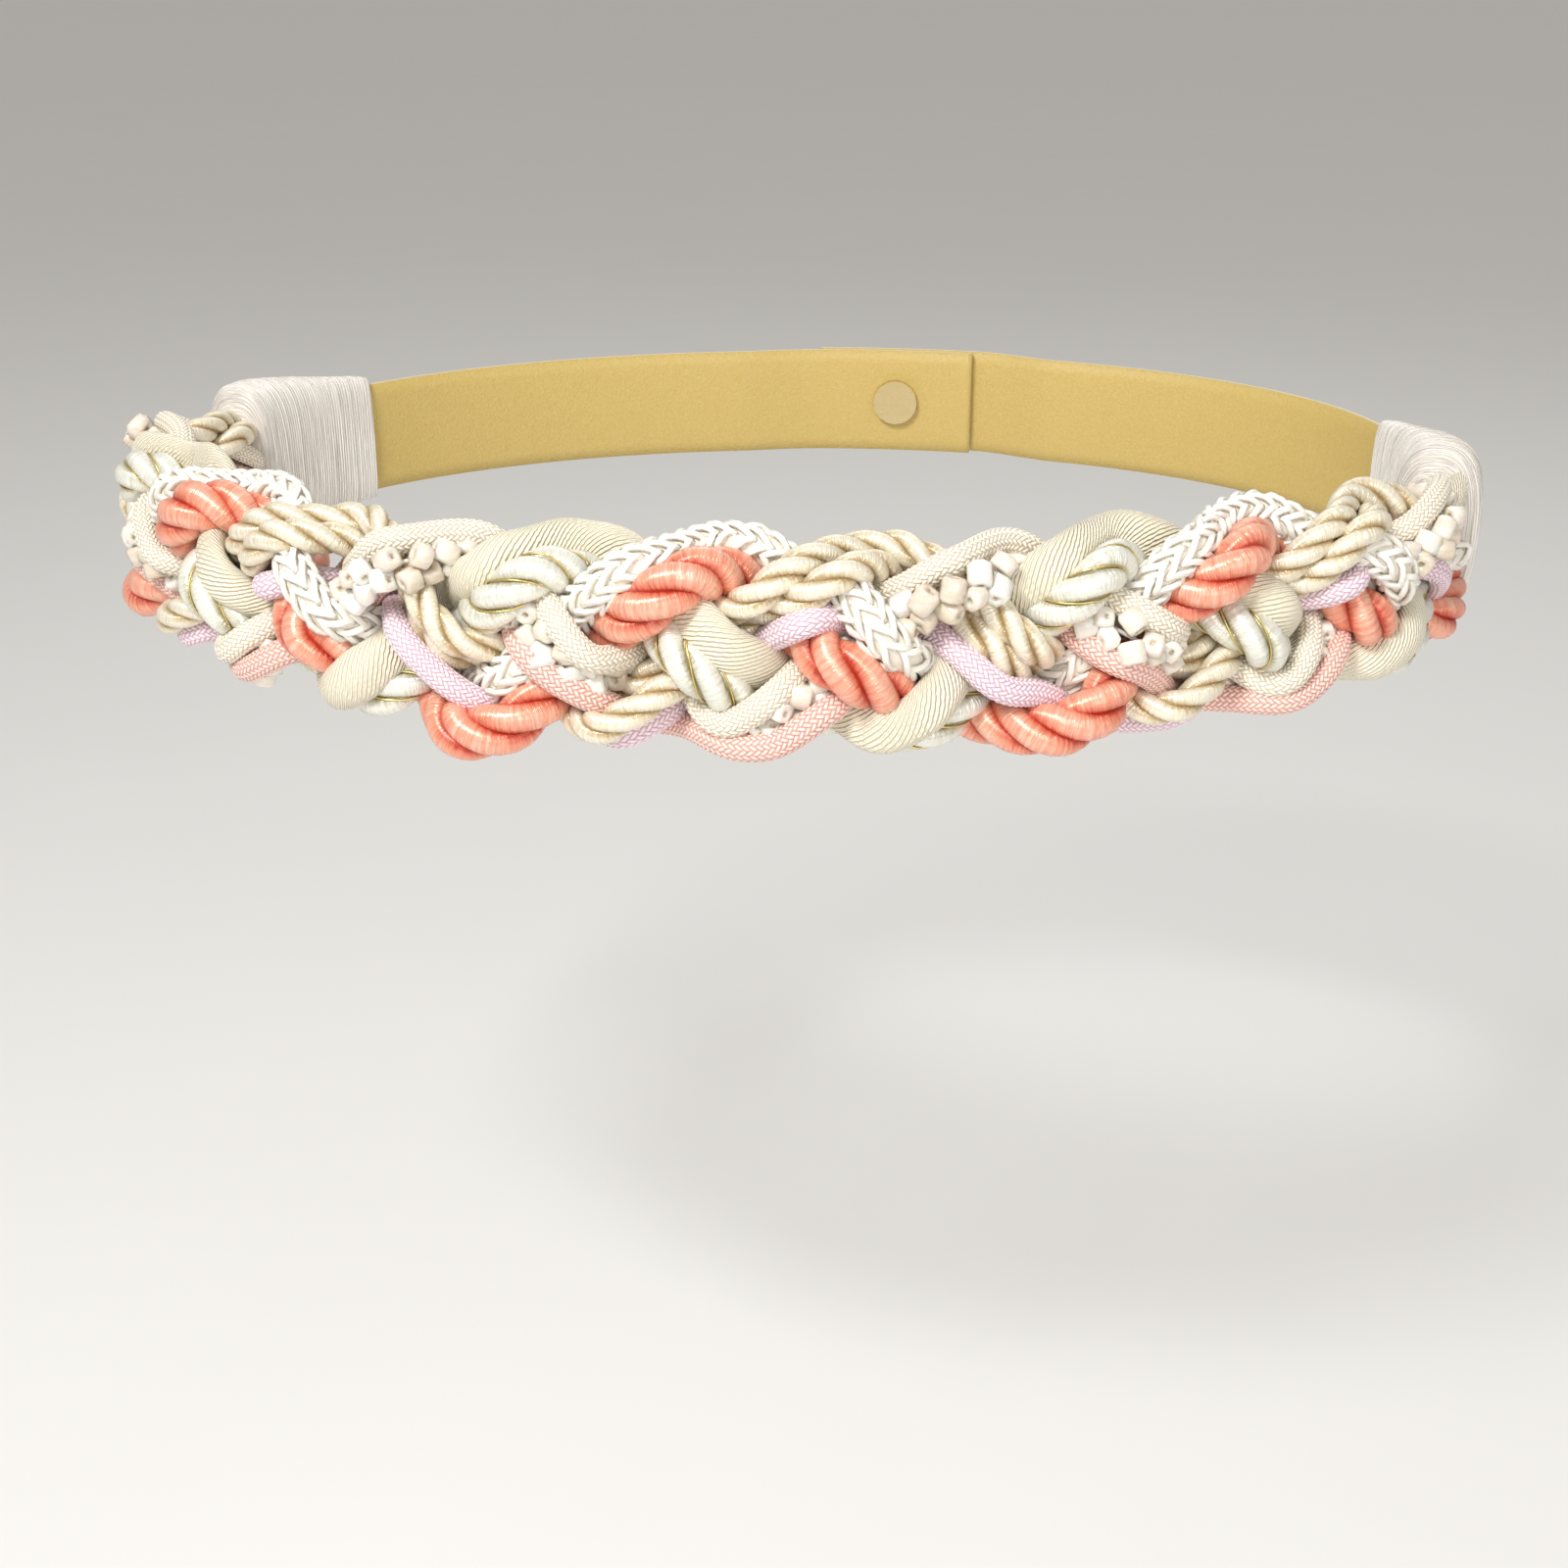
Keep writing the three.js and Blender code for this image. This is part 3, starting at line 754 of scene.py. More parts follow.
def surface(name, crest, colour, deep, pattern, counts, roughness=0.4, depth=0.0002, valley_shade_and_tone=0.2,
            sheen=0.0, satin=0.0, metallic=0.0, subsurface=0.0, combed=0.0):
    """A Principled surface whose colour goes from crest (0) through colour to deep (1). On thread,
    the crest colour is a painted highlight and the deep one a painted shade. Where its threads lie
    side by side round the cord, combed says how far they draw a highlight out along it."""
    material = bpy.data.materials.new(name)
    material.use_nodes = True
    tree = material.node_tree
    shader = tree.nodes["Principled BSDF"]
    shader.inputs["Roughness"].default_value = roughness
    shader.inputs["Metallic"].default_value = metallic
    shader.inputs["Sheen Weight"].default_value = sheen
    shader.inputs["Sheen Roughness"].default_value = 0.4
    shader.inputs["Coat Weight"].default_value = satin
    shader.inputs["Coat Roughness"].default_value = 0.3
    shader.inputs["Subsurface Weight"].default_value = subsurface
    shader.inputs["Subsurface Scale"].default_value = 0.002
    if combed:
        shader.inputs["Anisotropic"].default_value = combed
        shader.inputs["Anisotropic Rotation"].default_value = 0.25
        tangent = tree.nodes.new("ShaderNodeTangent")
        tangent.direction_type = "UV_MAP"
        tree.links.new(tangent.outputs[0], shader.inputs["Tangent"])
    fine = tree.nodes.new("ShaderNodeGroup")
    fine.node_tree = pattern
    for label, value in counts.items():
        fine.inputs[label].default_value = value
    bump = tree.nodes.new("ShaderNodeBump")
    bump.inputs["Distance"].default_value = depth
    tree.links.new(fine.outputs["Height"], bump.inputs["Height"])
    tree.links.new(bump.outputs["Normal"], shader.inputs["Normal"])
    ramp = tree.nodes.new("ShaderNodeValToRGB")
    ramp.color_ramp.elements[0].color = (*crest, 1)
    ramp.color_ramp.elements[1].color = (*deep, 1)
    ramp.color_ramp.elements.new(MAIN_COLOUR_AT).color = (*colour, 1)
    tree.links.new(ramp_factor(tree, fine.outputs["Height"], valley_shade_and_tone), ramp.inputs["Fac"])
    tree.links.new(ramp.outputs["Color"], shader.inputs["Base Color"])
    print(f"{name}: {pattern.name}, {depth / MM:.2f} mm deep")
    return material


print(f"the main colour lies at {MAIN_COLOUR_AT} between crest and hollow")

# %% [markdown]
# ## Satin
#
# The three kinds of rope are wound with rayon, whose threads lie side by side round each strand.
# A plain glossy surface would show round highlights, but these threads draw them out along the
# strand, so the surface is anisotropic. A fine metal thread runs in the grooves of the silvery
# rope.

# %% Satin
SATIN_THREADS = {"Along": 26.0, "Around": 1.5, "Wobble": 1.6, "Streaks": 18.0, "Loose": 0.75}


def satin(name, crest, colour, deep, roughness):
    """Rayon threads that lie side by side round a strand."""
    return surface(name, crest, colour, deep, THREADS, SATIN_THREADS, roughness=roughness,
                   depth=0.00022, valley_shade_and_tone=0.45, satin=0.4, metallic=0.3, combed=0.7)


# First colour: painted highlight on the crests; last: painted shade in the grooves.
CORAL = satin("coral_satin", (0.97, 0.60, 0.45), (0.89, 0.32, 0.20), (0.52, 0.05, 0.02),
              roughness=0.32)
SILVER = satin("silver_satin", (0.92, 0.92, 0.85), (0.80, 0.79, 0.68), (0.42, 0.38, 0.23),
               roughness=0.28)
CHAMPAGNE = satin("champagne_satin", (0.94, 0.89, 0.76), (0.85, 0.76, 0.57), (0.50, 0.36, 0.18),
                  roughness=0.3)
GOLD_THREAD = surface("gold_thread", (0.90, 0.74, 0.32), (0.78, 0.60, 0.22), (0.50, 0.36, 0.10),
                      GRAIN, {"Scale": 2000.0, "Stretch": 1.0}, roughness=0.3, depth=0.00005, valley_shade_and_tone=0.8,
                      metallic=1.0)

# %% [markdown]
# ## The three kinds of twisted rope
#
# A satin rope is three plump strands laid round each other. From any side, its strands lean
# from the upper left to the lower right of a level rope, which is an S lay. A bump could only
# hint at the deep grooves, so every strand is a sweep of its own along a helix.
#
# On the real belt the cords are soft and press on each other, so each is drawn a little fuller
# here than its solid: `wide` and `deep` say how much, along the height and the depth of the belt.

# %% The three kinds of twisted rope
STRAND_OUT = 0.5
STRAND_RADIUS = 0.55
STRAND_WIDENING = 1.05
GROOVE_SHADE = 0.8
SEAM_OUT = 0.84
SEAM_LEAN = 0.01
SEAM_SIDES = 5


def helix(path, turn, out, wide, deep):
    """The rope's line moved out by `out` at the given turns round it."""
    c = (out * deep * np.cos(turn))[:, None]
    d = (out * wide * np.sin(turn))[:, None]
    return path.points + c * path.across + d * path.downward


def rope(name, material, lay, wide, deep=1.2, seam=None, strands=3, step=0.85, sides=14):
    """Strands on a helix of one turn in `lay` millimetres. In a rope of radius R the strands
    have radius 0.55 R and their middles lie 0.5 R out; wide and deep stretch both. A place
    at the angle t of a strand has the shade k (1 - cos t)^1.5, painted shade that is deepest on
    its inner side, in the grooves.

    seam is the radius of a metal thread that lies in each groove, if there is one."""
    path = Path(name, step)
    full = path.radius * path.share
    parts = []
    for strand in range(strands):
        turn = 2 * np.pi * path.length / lay + 2 * np.pi * strand / strands
        centre = helix(path, turn, STRAND_OUT * full, wide, deep)
        normal = np.cos(turn)[:, None] * path.across + np.sin(turn)[:, None] * path.downward
        radius = STRAND_RADIUS * full * (wide + deep) / 2
        rings = sweep(centre, normal, radius, radius * STRAND_WIDENING, sides)
        # Painted shade: each strand darkens towards its inner side, where it lies in the groove.
        shade = GROOVE_SHADE * (1 - np.cos(round_angles(sides))) ** 1.5
        parts.append(grid_part(rings, path.length, shade=shade))
        if seam:
            groove = helix(path, turn + np.pi / strands, SEAM_OUT * full, wide, deep)
            rings = sweep(groove, path.across + SEAM_LEAN, seam, seam, SEAM_SIDES)
            parts.append(grid_part(rings, path.length, slot=1))
    materials = [material, GOLD_THREAD] if seam else [material]
    build(name, "satin", parts, materials)


rope("coral_rope", CORAL, lay=29.0, wide=1.5)
rope("silver_rope", SILVER, lay=27.0, wide=1.45, seam=0.22)
rope("champagne_rope_upper", CHAMPAGNE, lay=24.0, wide=1.45)
rope("champagne_rope_lower", CHAMPAGNE, lay=24.0, wide=1.45)

# %% [markdown]
# ## The round braids
#
# The lilac, beige and pink cords are round braids of the same make. Their relief is large enough
# to show at the cord's edge, so it is in the mesh, and the node group of the same weave adds the
# colour and the finer bump at the very same places. In that colour, each bump has a painted
# highlight and the gaps between the bumps have painted shade.

# %% The round braids
BRAID_COUNTS = {"Carriers": 16.0, "Lay": 2.2}
BRAID_RELIEF = 0.35
BRAID_LEVEL = 0.7


def braid_yarn(name, crest, colour, deep):
    """Glossy yarn with a painted highlight on each bump of the braid and painted shade that deepens
    fast between the bumps.
    """
    return surface(name, crest, colour, deep, BRAID, BRAID_COUNTS, roughness=0.34, depth=0.0004,
                   valley_shade_and_tone=0.9, sheen=0.2, satin=0.2)


def braid(name, material, wide=1.35, deep=1.2, step=0.45, sides=52):
    """The relief of the braid pattern, worked out as its node group does. What is higher than
    the level stands out of the cord's section, and what is lower sinks in."""
    path = Path(name, step)
    carriers = BRAID_COUNTS["Carriers"]
    turn = carriers * np.arange(sides)[None] / sides
    run = carriers * path.length[:, None] / (MM_IN_CM * BRAID_COUNTS["Lay"])
    a = turn + run
    b = turn - run
    heights = []
    for own, other, start in zip((a, b), (b, a), FAMILY_STARTS):
        nearest = np.round(own)
        across = np.sqrt(np.maximum(1 - YARN_ROUNDNESS * (own - nearest) ** 2, 0))
        q = np.mod(nearest + other + start, 4) - 1
        arch = np.sqrt(np.maximum(1 - q * q, 0))
        heights.append(across * (1 - FLOAT_ARCH + FLOAT_ARCH * arch))
    relief = BRAID_RELIEF * (np.maximum(*heights) - BRAID_LEVEL)
    full = path.radius * path.share
    rings = sweep(path.points, path.across, full * deep, full * wide, sides, bumps=relief)
    build(name, "braid", [grid_part(rings, path.length)], [material])


# First colour: painted highlight on the bumps; last: painted shade between them.
LILAC = braid_yarn("lilac_braid", (0.95, 0.82, 0.87), (0.87, 0.60, 0.69), (0.52, 0.24, 0.32))
BEIGE = braid_yarn("beige_braid", (0.96, 0.91, 0.80), (0.87, 0.76, 0.58), (0.50, 0.37, 0.21))
PINK = braid_yarn("salmon_braid", (0.96, 0.74, 0.66), (0.88, 0.46, 0.38), (0.54, 0.15, 0.10))
braid("lilac_cord", LILAC)
braid("beige_cord", BEIGE)
braid("pink_cord", PINK)

# %% [markdown]
# ## The crochet cord
#
# One yarn is knitted in a narrow spiral tube: stitch after stitch goes round the tube, and
# each loop passes through the one a turn before it. The whole cord is therefore one long yarn,
# and one sweep along a looping line makes it. A plain core keeps the tube from being seen
# through.

# %% The crochet cord
YARN_PLIES = {"Along": 0.0, "Around": 3.0, "Wobble": 0.3, "Streaks": 6.0, "Loose": 0.2}
# First colour: painted highlight on the loops; last: painted shade between them and on the core.
KNIT = surface("white_crochet", (0.90, 0.87, 0.80), (0.86, 0.82, 0.73), (0.77, 0.69, 0.56),
               THREADS, YARN_PLIES, roughness=0.32, depth=0.0002, valley_shade_and_tone=0.25, satin=0.3)
STITCH_UNEVENNESS = 0.1
LOOP_REACH = 0.9
LOOP_SWING = 0.12
LOOP_DIP = 0.2
YARN_SINK = 0.7
YARN_WIDENING = 1.1
YARN_RUN = 0.3
CORE_SHARE = 0.8
# The core shows only between the loops, and its shade is painted shade.
CORE_SHADE = 0.5
CORE_SIDES = 12


def crochet(name, wide, deep, stitches=4, course=3.8, yarn=0.74, step=0.5, points=16, sides=6):
    """A knitted tube as one line. With q stitches in one turn, the parameter p counts stitches:
    the turn is p / q less a sideways swing sin(4 pi p), the length is course times
    p / q - 0.9 cos(2 pi p), and the loop's head and foot lie further in. The shade is
    0.3 - 0.4 cos t + 1.6 (1 - out), painted shade that is deepest on the yarn's inner side and
    far in."""
    rng = np.random.default_rng(5)
    path = Path(name, step)
    total = path.length[-1] * stitches / course
    p = np.arange(0, total, 1 / points)
    at = course * (p / stitches - LOOP_REACH * np.cos(2 * np.pi * p))
    at = np.clip(at, 0, path.length[-1])
    ends = np.arange(math.ceil(total) + 1)
    loose = np.interp(p, ends, rng.normal(0, STITCH_UNEVENNESS, len(ends)))
    turn = 2 * np.pi / stitches * (p - LOOP_SWING * np.sin(4 * np.pi * p) + loose)
    out = 1 - LOOP_DIP * np.cos(4 * np.pi * p)

    def read(values):
        """What the cord has at the yarn's places, by interpolation."""
        return np.stack([np.interp(at, path.length, values[:, k]) for k in range(3)], -1)

    full = np.interp(at, path.length, path.share) * (path.radius - yarn * YARN_SINK) * out
    spoke = (np.cos(turn) * deep)[:, None] * read(path.across)
    spoke += (np.sin(turn) * wide)[:, None] * read(path.downward)
    line = read(path.points) + full[:, None] * spoke
    rings = sweep(line, spoke, yarn, yarn * YARN_WIDENING, sides)
    facing = np.cos(round_angles(sides))[None]
    shade = np.clip(0.3 - 0.4 * facing + 1.6 * (1 - out)[:, None], 0, 1)
    filled = CORE_SHARE * path.radius * path.share[::3]
    core = sweep(path.points[::3], path.across[::3], filled * deep, filled * wide, CORE_SIDES)
    parts = [
        grid_part(rings, np.arange(len(p)) * YARN_RUN, shade=shade),
        grid_part(core, path.length[::3], shade=CORE_SHADE),
    ]
    build(name, "yarn", parts, [KNIT])


crochet("knit_cord", wide=1.45, deep=1.2)

# %% [markdown]
# ## The twill tube
#
# A bias tube of cream twill, soft and pressed nearly flat. Its ribs lean across it. Cloth that is
# pressed could be simulated, but a smooth swelling and three shallow folds look the same and stay
# on the cord's line. The ribs are far finer than the folds, so they are in the material.

# %% The twill tube
TWILL_RIBS = {"Along": 8.0, "Around": 24.0, "Wobble": 0.25, "Streaks": 10.0, "Loose": 0.1}
# Along the ribs the colour goes from a painted highlight on their tops to painted shade in the
# valleys.
CREAM = surface("cream_twill", (0.98, 0.92, 0.75), (0.95, 0.85, 0.62), (0.74, 0.58, 0.32),
                THREADS, TWILL_RIBS, roughness=0.5, depth=0.0006, valley_shade_and_tone=0.5, sheen=0.3)
FOLD_HEIGHT = 0.16


def twill_tube(name, wide, deep, step=1.0, sides=40):
    """An ellipse section of a soft tube that is pressed between other cords: it swells by 6 %
    every 31 mm and by 4 % every 13 mm, and three shallow folds turn once in 45 mm."""
    path = Path(name, step)
    s = path.length
    full = path.radius * path.share
    ease = 1 + 0.06 * np.sin(2 * np.pi * s / 31) + 0.04 * np.sin(2 * np.pi * s / 13 + 1)
    folds = FOLD_HEIGHT * np.sin(3 * round_angles(sides)[None] + 2 * np.pi * s[:, None] / 45)
    rings = sweep(path.points, path.across, full * deep / ease, full * wide * ease, sides, bumps=folds)
    build(name, "twill", [grid_part(rings, s)], [CREAM])


twill_tube("cream_tube", wide=1.65, deep=1.05)

# %% [markdown]
# ## The shell beads
#
# Short, chunky pieces of mother of pearl, drilled and crowded on a thread. No two have the
# same tilt. They are cut as short rods and as blocks with soft edges. There are more than two
# hundred of them, so each has only a few dozen faces, and one superellipse with a changing power
# gives all the cuts. Light goes a little way into shell, which softens its shadows.

# %% The shell beads
SHELL = surface("shell", (0.88, 0.86, 0.80), (0.83, 0.76, 0.67), (0.62, 0.52, 0.38),
                GRAIN, {"Scale": 260.0, "Stretch": 2.5}, roughness=0.15, depth=0.0001, valley_shade_and_tone=0.9,
                satin=0.6, subsurface=0.3)
BEAD_PITCH = 2.6
BEAD_SIDES = 8
BEAD_PROFILE = np.array(
    [(-0.5, 0.2), (-0.98, 0.3), (-0.94, 0.85), (-0.7, 1.0),
     (0.7, 1.0), (0.94, 0.85), (0.98, 0.3), (0.5, 0.2)]
)
BEAD_HOLE = 0.25
BEAD_TILT = 0.75
BEAD_POWERS = (2.2, 4.5, 6.0)
BLOCK_POWER = 4
BLOCK_SHARE = 0.84
BEAD_SWELL = (1.05, 1.35)
BEAD_HALF_LENGTHS = (1.6, 2.8)
BEAD_PUSH = np.array((2.4, 2.0))
BEAD_STRAY = (0.5, 0.6)
BEAD_HUES = (-0.4, 0.35)
THREAD_RADIUS = 0.5
THREAD_SIDES = 6


def bead(path, k, number, rng):
    """A sweep of the superellipse |x|^n + |y|^n = 1 along the bead's own axis, narrower at both
    ends. Each bead is pushed outward from the thread, and down or up by turns."""
    t = round_angles(BEAD_SIDES)
    across = path.across[k]
    downward = path.downward[k]
    tilt = rng.normal(0, BEAD_TILT, 2)
    axis = unit(path.tangent[k] + tilt[0] * across + tilt[1] * downward)
    side = unit(across - axis * (across @ axis))
    spin = rng.uniform(0, 2 * np.pi)
    x_axis = np.cos(spin) * side + np.sin(spin) * np.cross(axis, side)
    y_axis = np.cross(axis, x_axis)
    power = rng.choice(BEAD_POWERS)
    radius = path.radius * path.share[k] * rng.uniform(*BEAD_SWELL)
    half = rng.uniform(*BEAD_HALF_LENGTHS)
    inside = min(path.length[k], path.length[-1] - path.length[k])
    pushed = smooth(inside / GATHER_LENGTH) * BEAD_PUSH * (1, (-1) ** number)
    offset = pushed + rng.normal(0, BEAD_STRAY)
    centre = path.points[k] + offset[0] * across + offset[1] * downward
    stretch = (np.abs(np.cos(t)) ** power + np.abs(np.sin(t)) ** power) ** (-1 / power)
    ring = stretch[:, None] * (np.cos(t)[:, None] * x_axis + np.sin(t)[:, None] * y_axis)
    if power > BLOCK_POWER:
        ring = ring * BLOCK_SHARE
    z, r = BEAD_PROFILE.T[..., None, None]
    hue = rng.uniform(*BEAD_HUES)
    # The rings round the drilled hole get full painted shade; the rest of a bead keeps its own random
    # tone.
    shade = np.where(BEAD_PROFILE[:, 1] < BEAD_HOLE, 1.0, hue)[:, None]
    return grid_part(centre + z * half * axis + r * radius * ring, np.zeros(len(z)), shade=shade)


def bead_string(name, step=0.5):
    """Beads at equal steps of the thread, and the thread itself as a thin sweep."""
    rng = np.random.default_rng(7)
    path = Path(name, step)
    spacing = path.length[1] - path.length[0]
    places = np.arange(BEAD_PITCH, path.length[-1] - BEAD_PITCH / 2, BEAD_PITCH)
    parts = []
    for number, at in enumerate(places):
        parts.append(bead(path, int(round(at / spacing)), number, rng))
    print(f"{len(parts)} beads")
    rings = sweep(path.points[::6], path.across[::6], THREAD_RADIUS, THREAD_RADIUS, THREAD_SIDES)
    parts.append(grid_part(rings, path.length[::6]))
    build(name, "shell", parts, [SHELL])


bead_string("bead_string")

# %% [markdown]
# ## Sections across the belt
#
# The wound ends and the strap have flat sections with rounded corners. A box with a Bevel
# modifier could have them too, but its corners would all be alike. A superellipse goes from an
# ellipse to nearly a box with a single number, which may change on the way along the belt.

# %% Sections across the belt
def cross_rings(along, centre_out, width, depth, power, sides):
    """Closed rings across the belt, one for each arc length: |x|^n + |y|^n = 1 stretched to a
    width along the height and a depth outward. A single number serves every ring."""
    t = (np.arange(sides) + 0.5) / sides * 2 * np.pi
    c = np.cos(t)
    s = np.sin(t)
    given = (along, centre_out, width, depth, power)
    along, centre_out, width, depth, power = [
        np.broadcast_to(values, len(along))[:, None] for values in given
    ]
    stretch = (np.abs(c) ** power + np.abs(s) ** power) ** (-1 / power)
    return belt_point(along, width / 2 * s * stretch, centre_out + depth / 2 * c * stretch)


example = cross_rings(np.zeros(1), centre_out=0.0, width=2.0, depth=2.0, power=4.0, sides=8)
print(f"a section of power 4 and 2 mm starts at {np.round(example[0, 0], 2).tolist()} mm")

# %% [markdown]
# ## The wound ends
#
# The ends of the ten cords are gathered and wound with satin thread, turn beside turn, from
# the mouth down to the strap. A real winding is one thread of many metres. Only its outside
# shows, so it is a closed shell with a ridge for each turn. Round the cords it closes in a
# shoulder, as wound thread slips inwards at an edge.

# %% The wound ends
WOUND_THREADS = {"Along": 16.0, "Around": 1.0, "Wobble": 2.5, "Streaks": 18.0, "Loose": 0.7}
# First colour: painted highlight on the turns; last: painted shade between them.
WOUND = surface("white_thread", (0.96, 0.94, 0.89), (0.88, 0.83, 0.76), (0.50, 0.41, 0.30),
                THREADS, WOUND_THREADS, roughness=0.32, depth=0.0004, valley_shade_and_tone=0.35, satin=0.3, combed=0.6)
WINDING_LENGTH = 38.0
WINDING_MARGIN = 1.2
WINDING_WALL = 2.2
STRAP_WIDTH = 30.0
STRAP_THICKNESS = 2.4
STRAP_STANDOFF = 1.5
SEAT_CLEARANCE = 0.3
RIGHT_MOUTH = PLAIT_END + SEAT_CLEARANCE
LEFT_MOUTH = PLAIT_START - SEAT_CLEARANCE
RINGS_PER_TURN = 5
FLARE_AT = (0, 0.05, 0.2, 0.45, 0.75, 0.97, 1)
FLARE = (0.8, 0.9, 0.88, 0.62, 0.25, 0.04, -0.04)
SHOULDER = ((0.2, 2.6, -16), (0.45, 2.3, -11), (0.68, 1.7, -6.5), (0.86, 0.9, -3), (0.96, 0.3, -1))
FLARE_SMOOTHING = 17
MOUTH_POWER = 2.6
POWER_GAIN = 1.4
TURN_THICKNESS = (0.7, 1.2)
RIDGE_HEIGHT = 0.3
RIDGE_LEVEL = 0.5
SHOULDER_SHADE = 0.3
INNER_RING = 9


def winding(name, mouth, direction, turns=46, sides=72):
    """The wound end of the CAD model with one ridge for each turn of thread. The ridges are
    |sin(pi n)| of the turn number n, which grows by one for each turn round the end, and the
    shade is 0.6 - 0.7 ridge, painted shade between the turns. A flare of 1 is the section of the
    gathered plait, and 0 that round the strap. Each ring of the shoulder is a share of the mouth's
    section, a distance ahead of it and a length for the thread pattern, in millimetres. The
    shoulder has an even painted shade."""
    mouth_width = GATHER_SHARE * 2 * PLAIT_HALF + 2 * WINDING_MARGIN
    mouth_depth = GATHER_SHARE * PLAIT_DEPTH + WINDING_MARGIN
    end_width = STRAP_WIDTH + 2 * WINDING_WALL
    end_depth = STRAP_STANDOFF + STRAP_THICKNESS + WINDING_WALL
    shares = np.linspace(0, 1, RINGS_PER_TURN * turns)
    flare = np.interp(shares, FLARE_AT, FLARE)
    flare = np.pad(flare, FLARE_SMOOTHING // 2, mode="edge")
    flare = np.convolve(flare, np.ones(FLARE_SMOOTHING) / FLARE_SMOOTHING, mode="valid")
    width = end_width + (mouth_width - end_width) * flare
    depth = end_depth + (mouth_depth - end_depth) * flare
    along = mouth + direction * shares * WINDING_LENGTH
    rings = cross_rings(along, depth / 2, width, depth, MOUTH_POWER + POWER_GAIN * shares, sides)
    rng = np.random.default_rng(3)
    thickness = rng.uniform(*TURN_THICKNESS, turns + 1)
    thickness = np.interp(shares * turns, np.arange(turns + 1), thickness)
    angle = (np.arange(sides) + 0.5) / sides
    ridge = thickness[:, None] * np.abs(np.sin(np.pi * (shares[:, None] * turns + angle)))
    outward = unit(rings - rings.mean(axis=1, keepdims=True))
    rings = rings + outward * (RIDGE_HEIGHT * (ridge - RIDGE_LEVEL))[..., None]
    edge = rings[0]
    middle = edge.mean(axis=0)
    ahead = unit(middle - rings[INNER_RING].mean(axis=0))
    part, distance, length = np.array(SHOULDER).T
    shoulder = middle + part[:, None, None] * (edge - middle) + distance[:, None, None] * ahead
    rings = np.concatenate([shoulder, rings])
    shoulder_shade = np.full((len(part), sides), SHOULDER_SHADE)
    shade = np.concatenate([shoulder_shade, np.clip(0.6 - 0.7 * ridge, 0, 1)])
    lengths = np.concatenate([length, shares * WINDING_LENGTH])
    if direction > 0:
        rings = rings[:, ::-1]
    build(name, "thread", [grid_part(rings, lengths, shade=shade)], [WOUND])


winding("winding_left", LEFT_MOUTH, -1)
winding("winding_right", RIGHT_MOUTH, 1)

# %% [markdown]
# ## Where the strap lies
#
# Each part of the strap starts at its seat inside a wound end and follows the waist line. Behind,
# their ends overlap: the left one steps out to lie on the stud's head, and the right one steps
# out over the left one. A step with corners would crease the strap, so both steps are smooth.

# %% Where the strap lies
SEAT_DEPTH = 8.0
STRAP_OVERLAP = 44.0
STRAP_STEP = 26.0
LAYER_GAP = 0.4
STUD_HEAD_THICKNESS = 1.8
STUD_ALONG = PLAIT_MIDDLE + WAIST_LENGTH / 2
SEAT_INSET = WINDING_LENGTH - SEAT_DEPTH + SEAT_CLEARANCE
RIGHT_START = RIGHT_MOUTH + SEAT_INSET
LEFT_START = LEFT_MOUTH - SEAT_INSET + WAIST_LENGTH
STUD_REST = STRAP_STANDOFF + STUD_HEAD_THICKNESS + LAYER_GAP
OVERLAP_START = STUD_ALONG - STRAP_OVERLAP / 2
OVERLAP_END = STUD_ALONG + STRAP_OVERLAP / 2


def left_out(along):
    """Where the inner face of the left strap lies, outward from the waist line: on the stud's
    head up to the end of the overlap, and then smoothly down to the standoff."""
    raised = smooth((STRAP_STEP + OVERLAP_END - along) / STRAP_STEP)
    return STRAP_STANDOFF + raised * (STUD_REST - STRAP_STANDOFF)


def right_out(along):
    """Where the inner face of the right strap lies: at the standoff, and then smoothly up to
    the outer face of the left one, where the overlap starts."""
    raised = smooth((along - (OVERLAP_START - STRAP_STEP)) / STRAP_STEP)
    over = STUD_REST + STRAP_THICKNESS + LAYER_GAP
    return STRAP_STANDOFF + raised * (over - STRAP_STANDOFF)


print(f"the strap's ends overlap by {STRAP_OVERLAP} mm, {STUD_ALONG:.0f} mm along the waist line")

# %% [markdown]
# ## The strap
#
# A plain strap with soft edges, pale outside and mustard inside. A flat ribbon with a Solidify
# modifier would do for a level strap. This one steps out over its other end, so it is a sweep of
# a flat section whose distance from the waist changes. The shade attribute is high on its inner
# side, so one material gives both colours; the inner mustard is partly the strap's own colour and
# partly painted shade, as that side faces the waist.

# %% The strap
STRAP = surface("strap_skin", (0.86, 0.78, 0.60), (0.74, 0.62, 0.36), (0.52, 0.37, 0.10),
                GRAIN, {"Scale": 1500.0, "Stretch": 1.0}, roughness=0.5, depth=0.0002, valley_shade_and_tone=0.3)
MUSTARD_SHADE = 0.8
STRAP_POWER = 10


def strap(name, start, end, out_at, rows=160, sides=24):
    """A section |x|^10 + |y|^10 = 1 of the strap's width and thickness, carried along it. The
    places whose cosine is negative face the waist, and have the mustard shade, which is partly
    painted shade."""
    places = np.linspace(start, end, rows)
    middle_out = out_at(places) + STRAP_THICKNESS / 2
    rings = cross_rings(places, middle_out, STRAP_WIDTH, STRAP_THICKNESS, STRAP_POWER, sides)
    inner = np.cos((np.arange(sides) + 0.5) / sides * 2 * np.pi) < 0
    if start < end:
        rings = rings[:, ::-1]
        inner = inner[::-1]
    shade = np.where(inner, MUSTARD_SHADE, 0.0)
    parts = [grid_part(rings, np.abs(places - start), shade=shade)]
    build(name, "band", parts, [STRAP])


